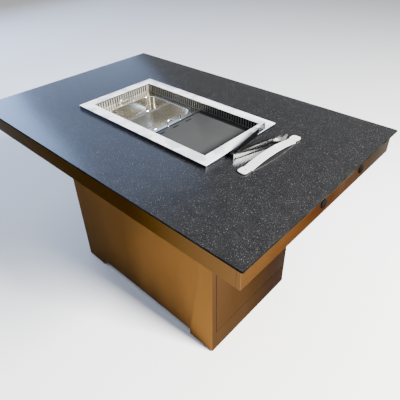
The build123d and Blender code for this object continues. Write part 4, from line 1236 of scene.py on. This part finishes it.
# -------- tools
@dataclass
class TableTools:
    """The tongs and the pan lifter that lie beside the unit."""

    finishes: Finishes
    edge: float = 0.22 * MM
    lifter_edge: float = 0.44 * MM

    def build(self) -> None:
        """Round the edges of the loose tools."""
        steel = self.finishes.bright
        ease("tongs_arm_slotted", Body.TONGS, steel, "steel", self.edge)
        ease("tongs_arm_spoon", Body.SPOON, steel, "steel", self.edge)
        ease("tongs_pin", Body.TONGS, steel, "steel", self.edge)
        ease("pan_lifter", Body.LIFTER, self.finishes.satin, "steel", self.lifter_edge)


# -------- studio
@dataclass
class Softbox:
    """A rectangular studio light, whose glow is its brightness, whatever its size."""

    name: str
    place: Point
    aim: Point
    size: Tuple[float, float]
    glow: float
    tint: Colour = (1.0, 1.0, 1.0)

    def hang(self) -> None:
        """Put the light in the scene."""
        data = bpy.data.lights.new(self.name, "AREA")
        data.shape = "RECTANGLE"
        data.size, data.size_y = self.size
        data.energy = math.pi * self.size[0] * self.size[1] * self.glow
        data.color = self.tint
        lamp = bpy.data.objects.new(self.name, data)
        lamp.location = self.place
        aim = Vector(self.aim) - Vector(self.place)
        lamp.rotation_euler = aim.to_track_quat("-Z", "Y").to_euler()
        bpy.context.scene.collection.objects.link(lamp)


@dataclass
class Studio:
    """The floor, the lights and the camera."""

    finishes: Finishes
    floor_size: float = 40.0
    sky: Colour = (0.95, 0.97, 1.0)
    sky_strength: float = 0.25
    table_top: Point = (0.0, 0.0, 0.7)
    camera_place: Point = (0.9176, -0.8385, 1.3218)
    camera_turn: Point = (54.538, 1.199, 42.822)
    focal_pixels: float = 404.7
    centre: Tuple[float, float] = (199.4, 184.4)
    image_pixels: float = 400.0
    sensor: float = 36.0

    def build(self) -> None:
        """Lay the floor and set up the lights and the camera."""
        self.floor()
        self.sky_light()
        top = self.table_top
        for light in (
            Softbox("key", (3.4, 0.6, 2.6), top, (1.2, 1.2), 260.0, (1.0, 0.98, 0.95)),
            Softbox("ceiling", (-0.9, -0.8, 3.2), (-0.9, -0.8, 0.0), (2.6, 1.8), 2.6),
            Softbox("window", (-4.5, -0.4, 2.1), top, (3.2, 2.8), 5.2, (0.37, 0.57, 1.0)),
            Softbox("sky_window", (-4.8, 0.5, 2.8), top, (7.0, 4.6), 1.35, (0.4, 0.58, 1.0)),
        ):
            light.hang()
        self.camera()

    def floor(self) -> None:
        """Lay a wide pale floor."""
        mesh = bmesh.new()
        bmesh.ops.create_grid(mesh, x_segments=1, y_segments=1, size=self.floor_size / 2)
        data = bpy.data.meshes.new("floor")
        mesh.to_mesh(data)
        mesh.free()
        data.materials.append(self.finishes.floor)
        item = bpy.data.objects.new("floor", data)
        bpy.context.scene.collection.objects.link(item)

    def sky_light(self) -> None:
        """Fill the room with even pale light."""
        world = bpy.data.worlds.new("studio")
        world.use_nodes = True
        back = world.node_tree.nodes["Background"]
        back.inputs["Color"].default_value = (*self.sky, 1.0)
        back.inputs["Strength"].default_value = self.sky_strength
        bpy.context.scene.world = world

    def camera(self) -> None:
        """Stand the camera above the near corner of the table."""
        data = bpy.data.cameras.new("camera")
        data.sensor_fit = "HORIZONTAL"
        data.sensor_width = self.sensor
        data.lens = self.focal_pixels * self.sensor / self.image_pixels
        data.shift_x = 0.5 - self.centre[0] / self.image_pixels
        data.shift_y = self.centre[1] / self.image_pixels - 0.5
        item = bpy.data.objects.new("camera", data)
        item.location = self.camera_place
        item.rotation_euler = Euler([math.radians(a) for a in self.camera_turn])
        bpy.context.scene.collection.objects.link(item)
        bpy.context.scene.camera = item


def main() -> None:
    """Build the studio and every sub-assembly, in order."""
    logging.basicConfig(level=logging.INFO, format="%(name)s: %(message)s")
    finishes = Finishes()
    parts = (Studio, TableTop, CookingUnit, DividedPan, Griddle)
    parts += (Cabinet, Ventilation, Electrics, TableTools)
    for part in parts:
        part(finishes).build()
        log.info("%s done", part.__name__)


if __name__ == "__main__":
    main()
